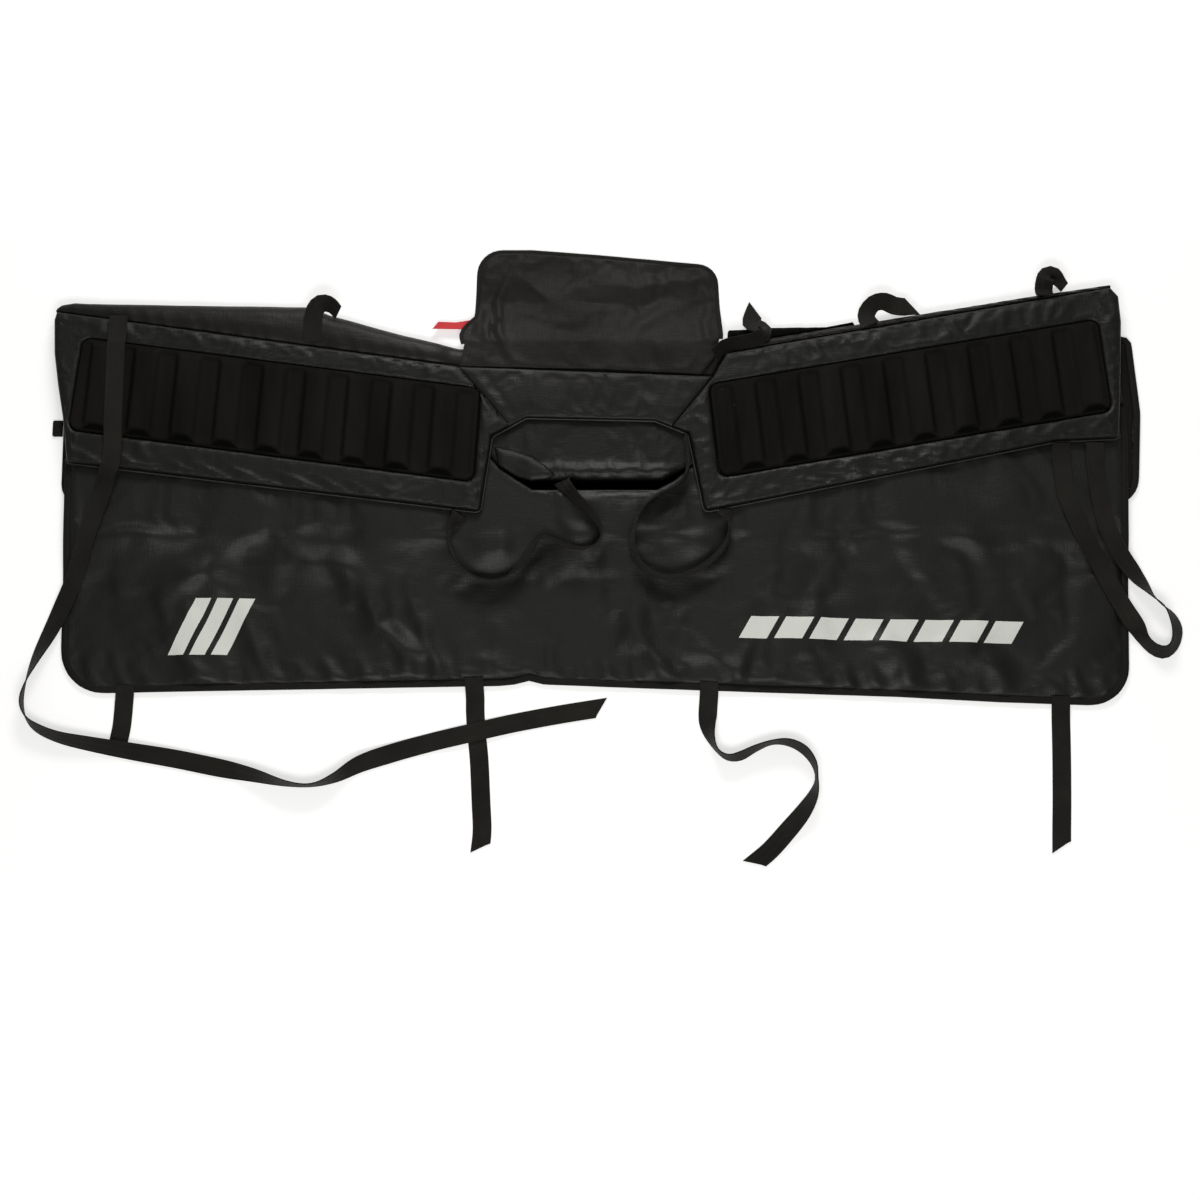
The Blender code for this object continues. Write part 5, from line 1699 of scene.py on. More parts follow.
@dataclass
class Backing:
    """The backing panels under the wings, the valance over the handle slot and the pleat beside it."""

    lines: YokeLines = field(default_factory=YokeLines)
    road: RoadSide = field(default_factory=RoadSide)
    slot_left: Point = (-0.086, -0.097)
    slot_right: Point = (0.09, -0.097)
    near_left: Point = (-0.134, -0.076)
    near_right: tuple[Point, ...] = ((0.116, -0.084), (0.128, -0.078))
    pleat: tuple[Point, ...] = (
        (-0.139, -0.052), (-0.134, -0.078), (-0.108, -0.0945), (-0.088, -0.101), (-0.066, -0.0985),
        (-0.056, -0.0935), (-0.068, -0.08), (-0.086, -0.068), (-0.112, -0.057),
    )

    def sides(self) -> tuple[Point, Point]:
        """Return the valance's left and right corners, where it meets the backing panels."""
        return self.road.head[-2][:2], self.road.head[2][:2]

    def valance(self) -> list[Point]:
        """Return the valance's outline.

        Returns:
            The outline.
        """
        left, right = self.sides()
        return [left, self.near_left, self.slot_left, self.slot_right, *self.near_right, right,
                *self.lines.seam_between(left[0], right[0])]

    def build(self, wardrobe: Wardrobe) -> list[Item]:
        """Build and dress the pieces.

        Args:
            wardrobe: the finishes.

        Returns:
            The pieces.
        """
        made = []
        left, right = self.sides()
        seam = self.lines.seam_between
        wings = (
            ("left_backing_panel", [self.road.head[-1][:2], left, *seam(-0.735, left[0])]),
            ("right_backing_panel", [right, self.road.head[1][:2], *seam(right[0], 0.708)]),
        )
        for node, outline in wings:
            pad = Pad(node.replace("_panel", "_cover"), offset(outline, -LAYERS.gap / 2.0),
                      level_at(LAYERS.under_road), LAYERS.road_panel, rim=0.5, pitch=0.014)
            made.append(wardrobe.dress(pad.build(), "bed_panel_cloth", Slot.FABRIC, node))
        slot_line = (self.slot_left, self.slot_right)
        pad = Pad(
            "valance_cover", offset(self.valance(), -LAYERS.gap / 2.0), level_at(LAYERS.under_road),
            0.0077, rim=0.36, edge=0.009, pitch=0.0036, settle=Settle(0.008, rise=0.001, fall=0.0006),
            relief=(Swell(slot_line, 0.012, 0.009, 0.0036),
                    Pucker(slot_line, 0.011, 0.03, 0.0013, 0.35, 9.0, 0.009), Slack(0.0007, 0.09, 5.1),
                    StitchLine(((-0.06, -0.094), (0.08, -0.094)), 0.0004, 0.0012)),
        )
        made.append(wardrobe.dress(pad.build(), "valance_cloth", Slot.FABRIC, "centre_valance"))
        level = LAYERS.under_yoke + LAYERS.gap
        pad = Pad("pleat_cloth", offset(self.pleat, -LAYERS.gap / 2.0),
                  lambda xs, ys: level + 0.0036 * smooth((xs + 0.11) / 0.025), 0.0055,
                  rim=0.25, edge=0.011, pitch=0.003, rings=(0.0008,), relief=(Slack(0.0008, 0.03, 3.3),))
        made.append(wardrobe.dress(pad.build(), "yoke_cloth", Slot.FABRIC, "side_pleat"))
        return made


@dataclass
class CrownEdge:
    """The padded roll along the fold, and the fleece that shows behind it."""

    lines: YokeLines = field(default_factory=YokeLines)
    far_edge: tuple[Point, ...] = (
        (-0.747, 0.146), (-0.74, 0.153), (-0.722, 0.157), (-0.4, 0.152), (-0.369, 0.14), (-0.271, 0.112),
        (-0.19, 0.092), (0.0, 0.086), (0.18, 0.096), (0.28, 0.112), (0.418, 0.135), (0.611, 0.167),
        (0.7125, 0.183),
    )
    flap_middle: float = -0.008
    flap_half: float = 0.188
    flap_run: float = 0.03
    ends: Point = (-0.7465, 0.7125)
    least: float = 0.0012
    fleece: tuple[Corner, ...] = (
        (0.181, 0.0966), (0.28, 0.1124), (0.358, 0.1256), (0.355, 0.13, 0.001),
        (0.318, 0.1225), (0.237, 0.1215, 0.004), (0.182, 0.1175, 0.003),
    )

    def far_y(self, xs: Array) -> Array:
        """Return the crown's far edge at each x."""
        return np.interp(xs, [x for x, _ in self.far_edge], [y for _, y in self.far_edge])

    def beside_flap(self, xs: Array) -> Array:
        """Return 0 under the flap and 1 well beside it."""
        return smooth((np.abs(xs - self.flap_middle) - self.flap_half) / self.flap_run)

    def top(self, xs: Array, ys: Array) -> Array:
        """Return the roll's height: over its top and down to the floor, and flat under the flap.

        Args:
            xs: the points' x.
            ys: the points' y.

        Returns:
            The levels.
        """
        low = np.array([self.lines.seam_y(x) for x in xs])
        high = self.far_y(xs)
        across = np.clip((ys - low) / np.maximum(high - low, 1e-4), 0.0, 1.0)
        flat = LAYERS.under_yoke - LAYERS.gap
        full = flat + (LAYERS.crown - flat) * self.beside_flap(xs)
        shares = (0.0, 0.05, 0.14, 0.4, 0.72, 0.93, 1.0)
        rises = (0.7, 0.82, 0.93, 1.0, 0.93, 0.66, 0.3)
        return full * np.interp(across, shares, rises)

    def build(self, wardrobe: Wardrobe) -> list[Item]:
        """Build and dress the pieces.

        Args:
            wardrobe: the finishes.

        Returns:
            The pieces.
        """
        first, last = self.ends
        near = [(x, y + LAYERS.gap / 2.0) for x, y in self.lines.seam_between(first, last)[::-1]]
        far = [(x, y - LAYERS.gap / 2.0) for x, y in self.far_edge if first < x < last]
        far = [(first, self.far_edge[0][1]), *far, (last, self.far_edge[-1][1])]
        outline = near + far[::-1]
        bm = cut_region(outline, 0.0045, (0.001,))
        xs, ys = spots_of(bm.verts)
        relief = (Slack(0.0022, 0.06, 7.7, 1.8),
                  Pucker(self.lines.seam(), 0.012, 0.026, 0.0016, 0.5, 4.0, 0.006))
        levels = self.top(xs, ys) + sum(item.lift(xs, ys) for item in relief) * self.beside_flap(xs) * 0.8
        set_levels(bm, np.maximum(levels, self.least))
        close_below(bm, level_at(0.0))
        roll = finish_mesh("crown_roll_cover", bm)
        wardrobe.dress(roll, "crown_cloth", Slot.FABRIC, "crown_roll")
        nap = Pad("fleece_lining_cloth", rounded(self.fleece), level_at(0.0006), 0.0154, rim=0.45, edge=0.009,
                  pitch=0.0026, rings=(0.0008, 0.0016),
                  relief=(Slack(0.003, 0.022, 2.2), Crumple(0.001, 0.012, 5.0)))
        return [roll, wardrobe.dress(nap.build(), "napped_fleece", Slot.FLEECE, "fleece_lining")]


@dataclass
class Bumper:
    """A moulded bumper in its pocket: a base with a low rim and nine ribs with domed ends."""

    side: Side
    centre: Point
    tilt: float
    length: float = 0.543
    depth: float = 0.13
    corner: float = 0.012
    base: float = 0.004
    rim_width: float = 0.007
    rim_rise: float = 0.0034
    ribs: int = 9
    pitch: float = 0.0592
    rib_width: float = 0.04
    crest_width: float = 0.024
    rib_height: float = 0.0095
    end_run: float = 0.0075
    shift: float = 0.0115
    skew: float = math.radians(4.0)
    clearance: float = 0.0008
    crest: float = 0.05
    crest_reach: float = 0.012
    end_inset: float = 0.0028
    blend: float = 0.1
    rim_middle: float = 0.003
    round_drop: float = 0.0024
    round_width: float = 0.0028
    sag: float = 0.0005
    # Size of the shade painted under the ribs' lower ends.
    shade_half: float = 0.021
    shade_depth: float = 0.0095
    shade_inset: float = 0.0016
    outer_reach: tuple[float, float] = (0.0, 0.0)

    def place(self, xs: Array, ys: Array) -> tuple[Array, Array]:
        """Return where points of the bumper lie on the pad.

        Args:
            xs: the points' x.
            ys: the points' y.

        Returns:
            Their x and y.
        """
        lean = xs + ys * math.copysign(math.tan(self.skew), self.tilt)
        return (self.centre[0] + lean * math.cos(self.tilt) - ys * math.sin(self.tilt),
                self.centre[1] + lean * math.sin(self.tilt) + ys * math.cos(self.tilt))

    def outline(self, grow: float = 0.0) -> list[Point]:
        """Return the bumper's outline about its own centre.

        Args:
            grow: how far it grows.

        Returns:
            The outline.
        """
        half_x, half_y, radius = self.length / 2.0 + grow, self.depth / 2.0 + grow, self.corner + grow
        low, high = self.outer_reach
        return rounded([(-half_x - low, -half_y, radius), (half_x, -half_y, radius), (half_x, half_y, radius),
                        (-half_x - high, half_y, radius)])

    def pocket(self) -> list[Point]:
        """Return the pocket's outline on the pad."""
        points = np.array(self.outline(self.clearance))
        return list(zip(*(values.tolist() for values in self.place(points[:, 0], points[:, 1]))))

    def beside(self, xs: Array) -> Array:
        """Return how far points lie from the middle of the nearest rib."""
        position = (xs - self.shift * self.side.value) / self.pitch + (self.ribs - 1) / 2.0
        return (position - np.clip(np.round(position), 0, self.ribs - 1)) * self.pitch

    def top(self, xs: Array, ys: Array) -> Array:
        """Return the height of the moulding above the pocket's floor.

        Args:
            xs: the points' x.
            ys: the points' y.

        Returns:
            The levels.
        """
        distance = np.abs(self.beside(xs))
        flank = (self.rib_width - self.crest_width) / 2.0
        crest = self.crest * smooth(1.0 - distance / self.crest_reach)
        cross = smooth((self.rib_width / 2.0 - distance) / flank) + crest
        from_end = self.depth / 2.0 - self.end_inset - np.abs(ys)
        dome = np.clip(from_end / self.end_run, 0.0, 1.2)
        share = np.clip(0.5 + 0.5 * (dome - cross) / self.blend, 0.0, 1.0)
        rib = dome * (1.0 - share) + cross * share - self.blend * share * (1.0 - share)
        edge = measure(xs, ys, self.outline(), True).distance
        rim = smooth((self.rim_width - np.abs(edge - self.rim_middle)) / self.rim_width)
        round_off = self.round_drop * (1.0 - soft_edge(edge, self.round_width))
        sag = self.sag * np.cos(np.pi * ys / self.depth)
        low = self.base + self.rim_rise * rim * (1.0 - np.clip(rib, 0, 1))
        return low + self.rib_height * np.maximum(rib, 0.0) - round_off + sag

    def painted_crevice_shade(self, xs: Array, ys: Array) -> Array:
        """Return how dark the painted shade is at each point, under the ribs' lower ends and beside them.

        Args:
            xs: the points' x.
            ys: the points' y.

        Returns:
            0 where no shade is painted to 1 in full painted shade.
        """
        beside = self.beside(xs)
        lens = (1.0 - (beside / self.shade_half) ** 2) * self.shade_depth
        from_low = ys + self.depth / 2.0 - self.shade_inset
        under = smooth((lens - from_low) / 0.0022) * smooth(from_low / 0.0008)
        outer = beside * self.side.value - (self.rib_width + self.crest_width) / 4.0
        flank = np.exp(-((outer / 0.0036) ** 2)) * smooth((self.depth / 2.0 - 0.006 - np.abs(ys)) / 0.012)
        return np.clip(0.97 * under + 0.34 * flank, 0.0, 1.0)

    def build(self, wardrobe: Wardrobe, name: str, node: str) -> Item:
        """Build and dress the bumper.

        Args:
            wardrobe: the finishes.
            name: the piece's name.
            node: the node that it stands for.

        Returns:
            The finished bumper.
        """
        bm = cut_region(self.outline(), 0.0026, (0.001, 0.0018))
        xs, ys = spots_of(bm.verts)
        level = LAYERS.pocket_floor + LAYERS.gap
        set_levels(bm, level + self.top(xs, ys))
        close_below(bm, level_at(level))
        xs, ys = spots_of(bm.verts)
        # Each vertex keeps how dark the shade painted on it is.
        shade = bm.verts.layers.float.new("painted_crevice_shade")
        for vert, x, y, depth in zip(bm.verts, *self.place(xs, ys), self.painted_crevice_shade(xs, ys)):
            vert.co.x, vert.co.y = x, y
            vert[shade] = depth
        return wardrobe.dress(finish_mesh(name, bm), "moulded_foam", Slot.BUMPER, node)


@dataclass
class Yoke:
    """The yoke: two padded wings with their bumpers, the bridge between them and the piping."""

    lines: YokeLines = field(default_factory=YokeLines)
    left: Bumper = field(default_factory=lambda: Bumper(Side.LEFT, (-0.4323, -0.0015), math.radians(-7.6),
                                                       outer_reach=(0.014, 0.008)))
    right: Bumper = field(default_factory=lambda: Bumper(Side.RIGHT, (0.429, 0.0155), math.radians(9.9)))
    piping_radius: float = 0.0013

    def build_wing(self, wardrobe: Wardrobe, bumper: Bumper, side: Side) -> Item:
        """Build and dress one wing with its pocket.

        Args:
            wardrobe: the finishes.
            bumper: the bumper that sits in it.
            side: which wing.

        Returns:
            The finished wing.
        """
        lines = self.lines
        outline = offset(lines.wing(side), -LAYERS.gap / 2.0)
        if side is Side.LEFT:
            hem = (lines.left_hem_outer, lines.left_hem_inner)
            end = (lines.left_hem_inner, lines.left_chamfer_low)
            gathered = ((-0.62, lines.seam_y(-0.62)), (-0.3, lines.seam_y(-0.3)))
            outer = (lines.seam_left, *lines.left_side, lines.left_hem_outer)
        else:
            hem = (lines.right_hem_inner, lines.right_hem_bend, lines.right_hem_outer)
            end = (lines.right_chamfer_low, lines.right_hem_inner)
            gathered = ((0.5, lines.seam_y(0.5)), (0.23, lines.seam_y(0.23)))
            outer = (lines.right_hem_outer, *lines.right_side, lines.seam_right)
        strong = 0.35 if side is Side.LEFT else 1.0
        relief = (
            Pucker(hem, 0.007, 0.056, 0.0032, 2.4, 11.0 + side.value, 0.011),
            Pucker(hem, 0.01, 0.04, 0.001, -1.2, 17.0 + side.value, 0.022),
            Pucker(gathered, 0.0075, 0.0175, 0.0026 * strong, 0.55, 21.0 + side.value, 0.019),
            Pucker(end, 0.008, 0.021, 0.0014, 0.4, 31.0, 0.008),
            Pucker(outer, 0.01, 0.034, 0.0005, 0.4, 41.0, 0.01),
            StitchLine(offset(outline, -0.0052), 0.0011, 0.0016, True),
            Slack(0.0012, 0.075, 3.0 + side.value, 1.5),
        )
        pad = Pad(side.name.lower() + "_wing_cover", outline, level_at(LAYERS.under_yoke), LAYERS.wing,
                  rim=0.6, edge=0.009, pitch=0.0042, rings=(0.001, 0.0022),
                  hole=bumper.pocket(), relief=relief, settle=Settle(0.02, rise=0.0016, fall=0.001))
        return wardrobe.dress(pad.build(), "yoke_cloth", Slot.FABRIC, side.name.lower() + "_wing")

    def build_bridge(self, wardrobe: Wardrobe) -> Item:
        """Build and dress the bridge.

        Args:
            wardrobe: the finishes.

        Returns:
            The bridge.
        """
        lines = self.lines
        outline = offset([lines.joint(Side.LEFT), lines.left_chamfer_top, lines.right_chamfer_top,
                          lines.joint(Side.RIGHT), lines.seam_right_inner, lines.seam_left_inner],
                         -LAYERS.gap / 2.0)
        edge = (lines.left_chamfer_top, lines.right_chamfer_top)
        relief = (
            StitchLine(((-0.088, 0.058), (-0.094, -0.004)), 0.0012, 0.002),
            StitchLine(((0.11, 0.052), (0.084, -0.006)), 0.001, 0.002),
            StitchLine(((0.078, 0.052), (0.056, -0.008)), 0.001, 0.002),
            Pucker(edge, 0.009, 0.03, 0.001, 0.4, 51.0, 0.008),
            Fold(((-0.17, 0.056), (-0.118, -0.018)), 0.0012, 0.006),
            Slack(0.001, 0.11, 8.8),
        )
        pad = Pad("bridge_cover", outline, level_at(LAYERS.under_yoke), LAYERS.bridge, rim=0.78,
                  edge=0.007, pitch=0.0042, relief=relief, settle=Settle(0.012, rise=0.001))
        return wardrobe.dress(pad.build(), "yoke_cloth", Slot.FABRIC, "centre_bridge")

    def build_piping(self, wardrobe: Wardrobe) -> Item:
        """Build and dress the piping along the yoke's free edge.

        Args:
            wardrobe: the finishes.

        Returns:
            The piping.
        """
        edge = offset(self.lines.free_edge(), self.piping_radius + 0.0001)[:-2]
        level = LAYERS.under_yoke + 0.0042
        points = [(x, y, level) for x, y in even_path(edge, 0.005, False)]
        size = 2.0 * self.piping_radius
        item = sweep("yoke_piping_cord", oval(size, size, 10), stations_on(points, False))
        return wardrobe.dress(item, "piping_cord", Slot.PIPING, "yoke_piping")

    def build(self, wardrobe: Wardrobe) -> list[Item]:
        """Build and dress the pieces.

        Args:
            wardrobe: the finishes.

        Returns:
            The pieces.
        """
        return [
            self.build_wing(wardrobe, self.left, Side.LEFT),
            self.build_wing(wardrobe, self.right, Side.RIGHT),
            self.left.build(wardrobe, "left_moulded_bumper", "left_bumper"),
            self.right.build(wardrobe, "right_moulded_bumper", "right_bumper"),
            self.build_bridge(wardrobe), self.build_piping(wardrobe),
        ]


@dataclass
class HandleFlap:
    """The handle flap turned up past the crown, its tape and the blank label sewn under it."""

    corners: tuple[Corner, ...] = (
        (-0.1885, 0.0625), (-0.166, 0.0615), (0.005, 0.059), (0.144, 0.0505),
        (0.163, 0.075, 0.01), (0.176, 0.105, 0.012), (0.172, 0.15), (0.169, 0.215, 0.03),
        (0.0, 0.231), (-0.09, 0.238), (-0.166, 0.238, 0.036), (-0.1675, 0.176),
        (-0.169, 0.139), (-0.179, 0.129), (-0.187, 0.118), (-0.1905, 0.107),
        (-0.187, 0.095),
    )
    drop_start: float = 0.1
    drop_end: float = 0.158
    tape_width: float = 0.006
    label: tuple[Point, ...] = (
        (-0.227, 0.12), (-0.174, 0.119), (-0.162, 0.129), (-0.17, 0.1345), (-0.195, 0.13),
        (-0.219, 0.131),
    )
    label_thickness: float = 0.0012

    def floor(self, xs: Array, ys: Array) -> Array:
        """Return the flap's underside: on the crown, then down to the floor."""
        share = np.clip((ys - self.drop_start) / (self.drop_end - self.drop_start), 0.0, 1.0)
        return (LAYERS.under_yoke + LAYERS.gap) * (1.0 - share)

    @staticmethod
    def at_seam(point: Point) -> bool:
        """Tell whether a point of the outline lies on the seam, where the edge has no tape."""
        return point[1] < 0.0765

    def build(self, wardrobe: Wardrobe) -> list[Item]:
        """Build and dress the pieces.

        Args:
            wardrobe: the finishes.

        Returns:
            The pieces.
        """
        outline = rounded(self.corners)
        seam = ((-0.188, 0.062), (0.005, 0.059), (0.144, 0.051))
        relief = (
            Fold(((-0.152, 0.092), (-0.15, 0.125), (-0.149, 0.16)), 0.004, 0.006, 0.6),
            Fold(((-0.118, 0.072), (-0.134, 0.11), (-0.137, 0.16), (-0.122, 0.195)), 0.0046, 0.006, 0.7),
            Fold(((-0.166, 0.1), (-0.16, 0.135)), 0.003, 0.006, 0.5),
            Fold(((-0.02, 0.15), (-0.07, 0.163), (-0.112, 0.205)), 0.0035, 0.014, 0.5),
            Fold(((0.005, 0.185), (0.06, 0.18), (0.15, 0.197)), 0.0032, 0.012, 0.5),
            Fold(((0.048, 0.09), (0.06, 0.125), (0.095, 0.15), (0.15, 0.165)), 0.0036, 0.012, 0.5),
            Fold(((0.1, 0.07), (0.08, 0.105)), 0.0035, 0.01, 0.5),
            Fold(((0.156, 0.09), (0.15, 0.13), (0.16, 0.165)), 0.0026, 0.007, 0.4),
            Pucker(seam, 0.016, 0.042, 0.002, 0.4, 61.0, 0.012),
            Slack(0.003, 0.12, 9.9, 1.3, 0.8),
        )
        pad = Pad("flap_cover", bound_inset(outline, self.tape_width, self.at_seam), self.floor, 0.0045,
                  rim=0.7, edge=0.006, pitch=0.0045, relief=relief,
                  settle=Settle(0.025, rise=0.003, fall=0.001))
        cover = wardrobe.dress(pad.build(), "flap_cloth", Slot.FABRIC, "handle_flap")
        tape = Binding("flap_binding", outline, self.floor, self.tape_width, 0.003, 0.0006, 6.0,
                       self.at_seam)
        binding = wardrobe.dress(tape.build(), "flap_ribbon", Slot.TAPE, "handle_flap_tape")
        return [cover, binding, self.build_label(wardrobe)]

    def build_label(self, wardrobe: Wardrobe) -> Item:
        """Build and dress the blank label.

        Args:
            wardrobe: the finishes.

        Returns:
            The label.
        """
        bm = cut_region(self.label, 0.003, ())
        set_levels(bm, self.floor(*spots_of(bm.verts)) - LAYERS.gap)
        close_below(bm, lambda xs, ys: self.floor(xs, ys) - LAYERS.gap - self.label_thickness)
        item = wardrobe.dress(finish_mesh("label_cloth", bm), "label_cloth", Slot.LABEL, "fabric_label")
        return item


TIP = 0.012  # measure of a slanted tip: how far one selvedge is cut back past the other


@dataclass
class Webbing:
    """Every webbing strap of the pad."""

    straps: tuple[Strap, ...] = (
        Strap("long_bike_strap", "bike_strap_1", (
            (-0.657, 0.131, 0.005), (-0.6572, 0.11, 0.002), (-0.6575, 0.083, 0.001),
            (-0.6575, 0.044, 0.0002), (-0.6572, 0.002, 0.0002), (-0.657, -0.034, 0.0004),
            (-0.6572, -0.056, 0.001), (-0.6585, -0.076, 0.0012), (-0.6635, -0.091, 0.004),
            (-0.669, -0.108, 0.002), (-0.679, -0.142, 0.0006), (-0.69, -0.181, 0.0004),
            (-0.703, -0.229, 0.0004), (-0.718, -0.267, 0.0, 4), (-0.735, -0.307, 0.0, 22),
            (-0.752, -0.346, 0.0, 50), (-0.764, -0.381, 0.0, 78), (-0.767, -0.405, 0.0, 88),
            (-0.76, -0.425, 0.0, 80), (-0.744, -0.439, 0.0, 66), (-0.715, -0.451, 0.0, 58),
            (-0.675, -0.4595, 0.0, 45), (-0.621, -0.469, 0.0, 30), (-0.561, -0.479, 0.0, 18),
            (-0.507, -0.49, 0.0, 18), (-0.457, -0.501, 0.0, 48), (-0.41, -0.513, 0.0, 80),
            (-0.376, -0.515, 0.0, 88), (-0.346, -0.505, 0.0, 68), (-0.313, -0.486, 0.0, 34),
            (-0.268, -0.47, 0.0, 8), (-0.222, -0.457, 0.0006), (-0.188, -0.449, 0.0027),
            (-0.162, -0.443, 0.0029), (-0.135, -0.4365, 0.0025), (-0.102, -0.429, 0.0004),
            (-0.049, -0.419), (0.0065, -0.41)), 1.42, slant=1.7 * TIP),
        Strap("left_loop_strap", "bike_strap_3", (
            (-0.046, -0.099, -0.006), (-0.043, -0.106, -0.003, 38), (-0.037, -0.115, 0.0, 58),
            (-0.026, -0.129, 0.0, 64), (-0.008, -0.146, 0.0, 72), (0.005, -0.165, 0.0, 82),
            (0.006, -0.182, 0.0, 88), (-0.003, -0.193, 0.0, 80), (-0.022, -0.197, 0.0, 66),
            (-0.044, -0.191, 0.0, 64), (-0.06, -0.182, 0.0, 74), (-0.072, -0.179, 0.0, 78),
            (-0.082, -0.186, 0.0, 66), (-0.092, -0.201, 0.0, 60), (-0.104, -0.218, 0.0, 66),
            (-0.12, -0.232, 0.0, 78), (-0.138, -0.239, 0.0, 86), (-0.159, -0.236, 0.0, 86),
            (-0.179, -0.224, 0.0, 82), (-0.193, -0.205, 0.0, 80), (-0.199, -0.183, 0.0, 80),
            (-0.196, -0.165, 0.0, 78), (-0.1885, -0.1545, 0.0, 52), (-0.186, -0.1475, 0.0, 20)),
            0.44, FarEnd.OBJECT),
        Strap("right_loop_strap", "bike_strap_4", (
            (0.1205, -0.04, 0.0, 84), (0.1245, -0.064, 0.0, 84), (0.123, -0.088, 0.0, 82),
            (0.108, -0.108, 0.0, 76), (0.08, -0.124, 0.0, 76), (0.06, -0.145, 0.0, 82),
            (0.051, -0.169, 0.0008, 80), (0.048, -0.193, 0.0006, 74), (0.055, -0.214, 0.0, 76),
            (0.072, -0.229, 0.0, 84), (0.096, -0.235, 0.0, 88), (0.123, -0.23, 0.0, 86),
            (0.148, -0.217, 0.0, 84), (0.167, -0.2, 0.0, 82), (0.178, -0.18, 0.0, 84),
            (0.1795, -0.162, 0.0, 80), (0.1755, -0.151, 0.0, 56), (0.1735, -0.143, 0.0, 24)),
            0.42, FarEnd.OBJECT),
        Strap("crown_loop_left", "bike_strap_2", (
            (-0.391, 0.097, 0.0002), (-0.3915, 0.112, 0.0002), (-0.391, 0.129, 0.0004),
            (-0.388, 0.142, 0.003, 12), (-0.38, 0.15, 0.006, 28), (-0.369, 0.15, 0.004, 42),
            (-0.361, 0.144, 0.001, 50), (-0.356, 0.137, 0.0, 52))),
        Strap("crown_loop_middle", "bike_strap_5", (
            (0.378, 0.1195), (0.374, 0.13, 0.0004), (0.3745, 0.142, 0.003, 14),
            (0.3835, 0.153, 0.011, 32), (0.3985, 0.157, 0.009, 34), (0.413, 0.153, 0.002, 22),
            (0.426, 0.15, 0.0, 10), (0.437, 0.149, 0.0, 4)), slant=-1.9 * TIP),
        Strap("crown_loop_right", "bike_strap_6", (
            (0.6195, 0.1625), (0.6198, 0.174, 0.0004), (0.6205, 0.185, 0.018, -6),
            (0.625, 0.193, 0.017), (0.634, 0.1945, 0.008, 40), (0.643, 0.188, 0.001, 68),
            (0.65, 0.179, 0.0, 76))),
        Strap("crown_tail", "strap_tail", (
            (0.1615, 0.077, 0.0, 60), (0.1756, 0.089, 0.0, 62), (0.1948, 0.0925, 0.0, 56),
            (0.2157, 0.0965, 0.0, 50), (0.23, 0.104, 0.003, 50), (0.232, 0.114, 0.0045, 46),
            (0.222, 0.118, 0.008, 25), (0.214, 0.1245, 0.0065, 6), (0.2165, 0.137, 0.005),
            (0.2205, 0.1475, 0.006)), slant=1.5 * TIP),
        Strap("side_loop_strap", "side_strap", (
            (0.633, -0.049), (0.634, -0.083, 0.0004), (0.637, -0.114, 0.0004),
            (0.648, -0.148, 0.0004), (0.662, -0.182, 0.0002), (0.68, -0.216, 0.0002),
            (0.697, -0.25, 0.0003), (0.712, -0.278, 0.001, 4), (0.724, -0.299, 0.001, 30),
            (0.7345, -0.318, 0.0, 66), (0.747, -0.331, 0.0, 66), (0.761, -0.336, 0.0, 56),
            (0.772, -0.331, 0.0, 56), (0.779, -0.319, 0.0, 50), (0.781, -0.302, 0.0, 44),
            (0.775, -0.286, 0.0, 54), (0.764, -0.272, 0.0, 74), (0.75, -0.258, 0.0, 66),
            (0.737, -0.24, 0.0, 36), (0.724, -0.222, 0.0008, 12), (0.71, -0.203, 0.0006, 3),
            (0.698, -0.181, 0.001), (0.689, -0.155, 0.0004), (0.685, -0.128, 0.0002),
            (0.682, -0.099, 0.0002), (0.68, -0.074), (0.68, -0.047)),
            0.68, FarEnd.OBJECT),
        Strap("tie_down_1", "tie_strap_1", (
            (-0.631, -0.38), (-0.631, -0.3925), (-0.632, -0.407, 0.0005),
            (-0.633, -0.421), (-0.634, -0.437, 0.0014), (-0.636, -0.452, 0.003),
            (-0.638, -0.464, 0.003, 4)), slant=-1.2 * TIP),
        Strap("tie_down_2", "tie_strap_2", (
            (-0.164, -0.37), (-0.163, -0.384), (-0.162, -0.399, 0.0005),
            (-0.162, -0.414), (-0.16, -0.443), (-0.156, -0.48),
            (-0.153, -0.534), (-0.151, -0.573), (-0.153, -0.597)),
            0.23, slant=-1.3 * TIP),
        Strap("tie_down_3", "tie_strap_3", (
            (0.151, -0.376), (0.151, -0.39), (0.15, -0.405, 0.0008),
            (0.149, -0.419, 0.0, 8), (0.149, -0.434, 0.0, 34), (0.153, -0.453, 0.0, 70),
            (0.161, -0.469, 0.0, 88), (0.175, -0.478, 0.0, 80), (0.192, -0.476, 0.0, 68),
            (0.212, -0.466, 0.0, 76), (0.234, -0.458, 0.0, 84), (0.256, -0.458, 0.0, 76),
            (0.276, -0.468, 0.0, 72), (0.289, -0.486, 0.0, 80), (0.292, -0.506, 0.0, 88),
            (0.287, -0.528, 0.0, 60), (0.273, -0.551, 0.0, 30), (0.252, -0.576, 0.0, 10),
            (0.23, -0.6, 0.0, 2), (0.209, -0.6175)), 0.42, slant=-1.7 * TIP),
        Strap("tie_down_4", "tie_strap_4", (
            (0.621, -0.395), (0.621, -0.408), (0.621, -0.423, 0.0005),
            (0.621, -0.438), (0.62, -0.48), (0.618, -0.534),
            (0.616, -0.573), (0.615, -0.596)), 0.21, slant=-1.5 * TIP),
    )

    def build(self, wardrobe: Wardrobe, carriers: Sequence[Item]) -> None:
        """Build and dress every strap, at rest on the pieces that carry it.

        Args:
            wardrobe: the finishes.
            carriers: the pieces that carry them.
        """
        ground = Ground(carriers)
        for strap in self.straps:
            wardrobe.dress(strap.build(ground), "strap_webbing", Slot.WEBBING, strap.node)


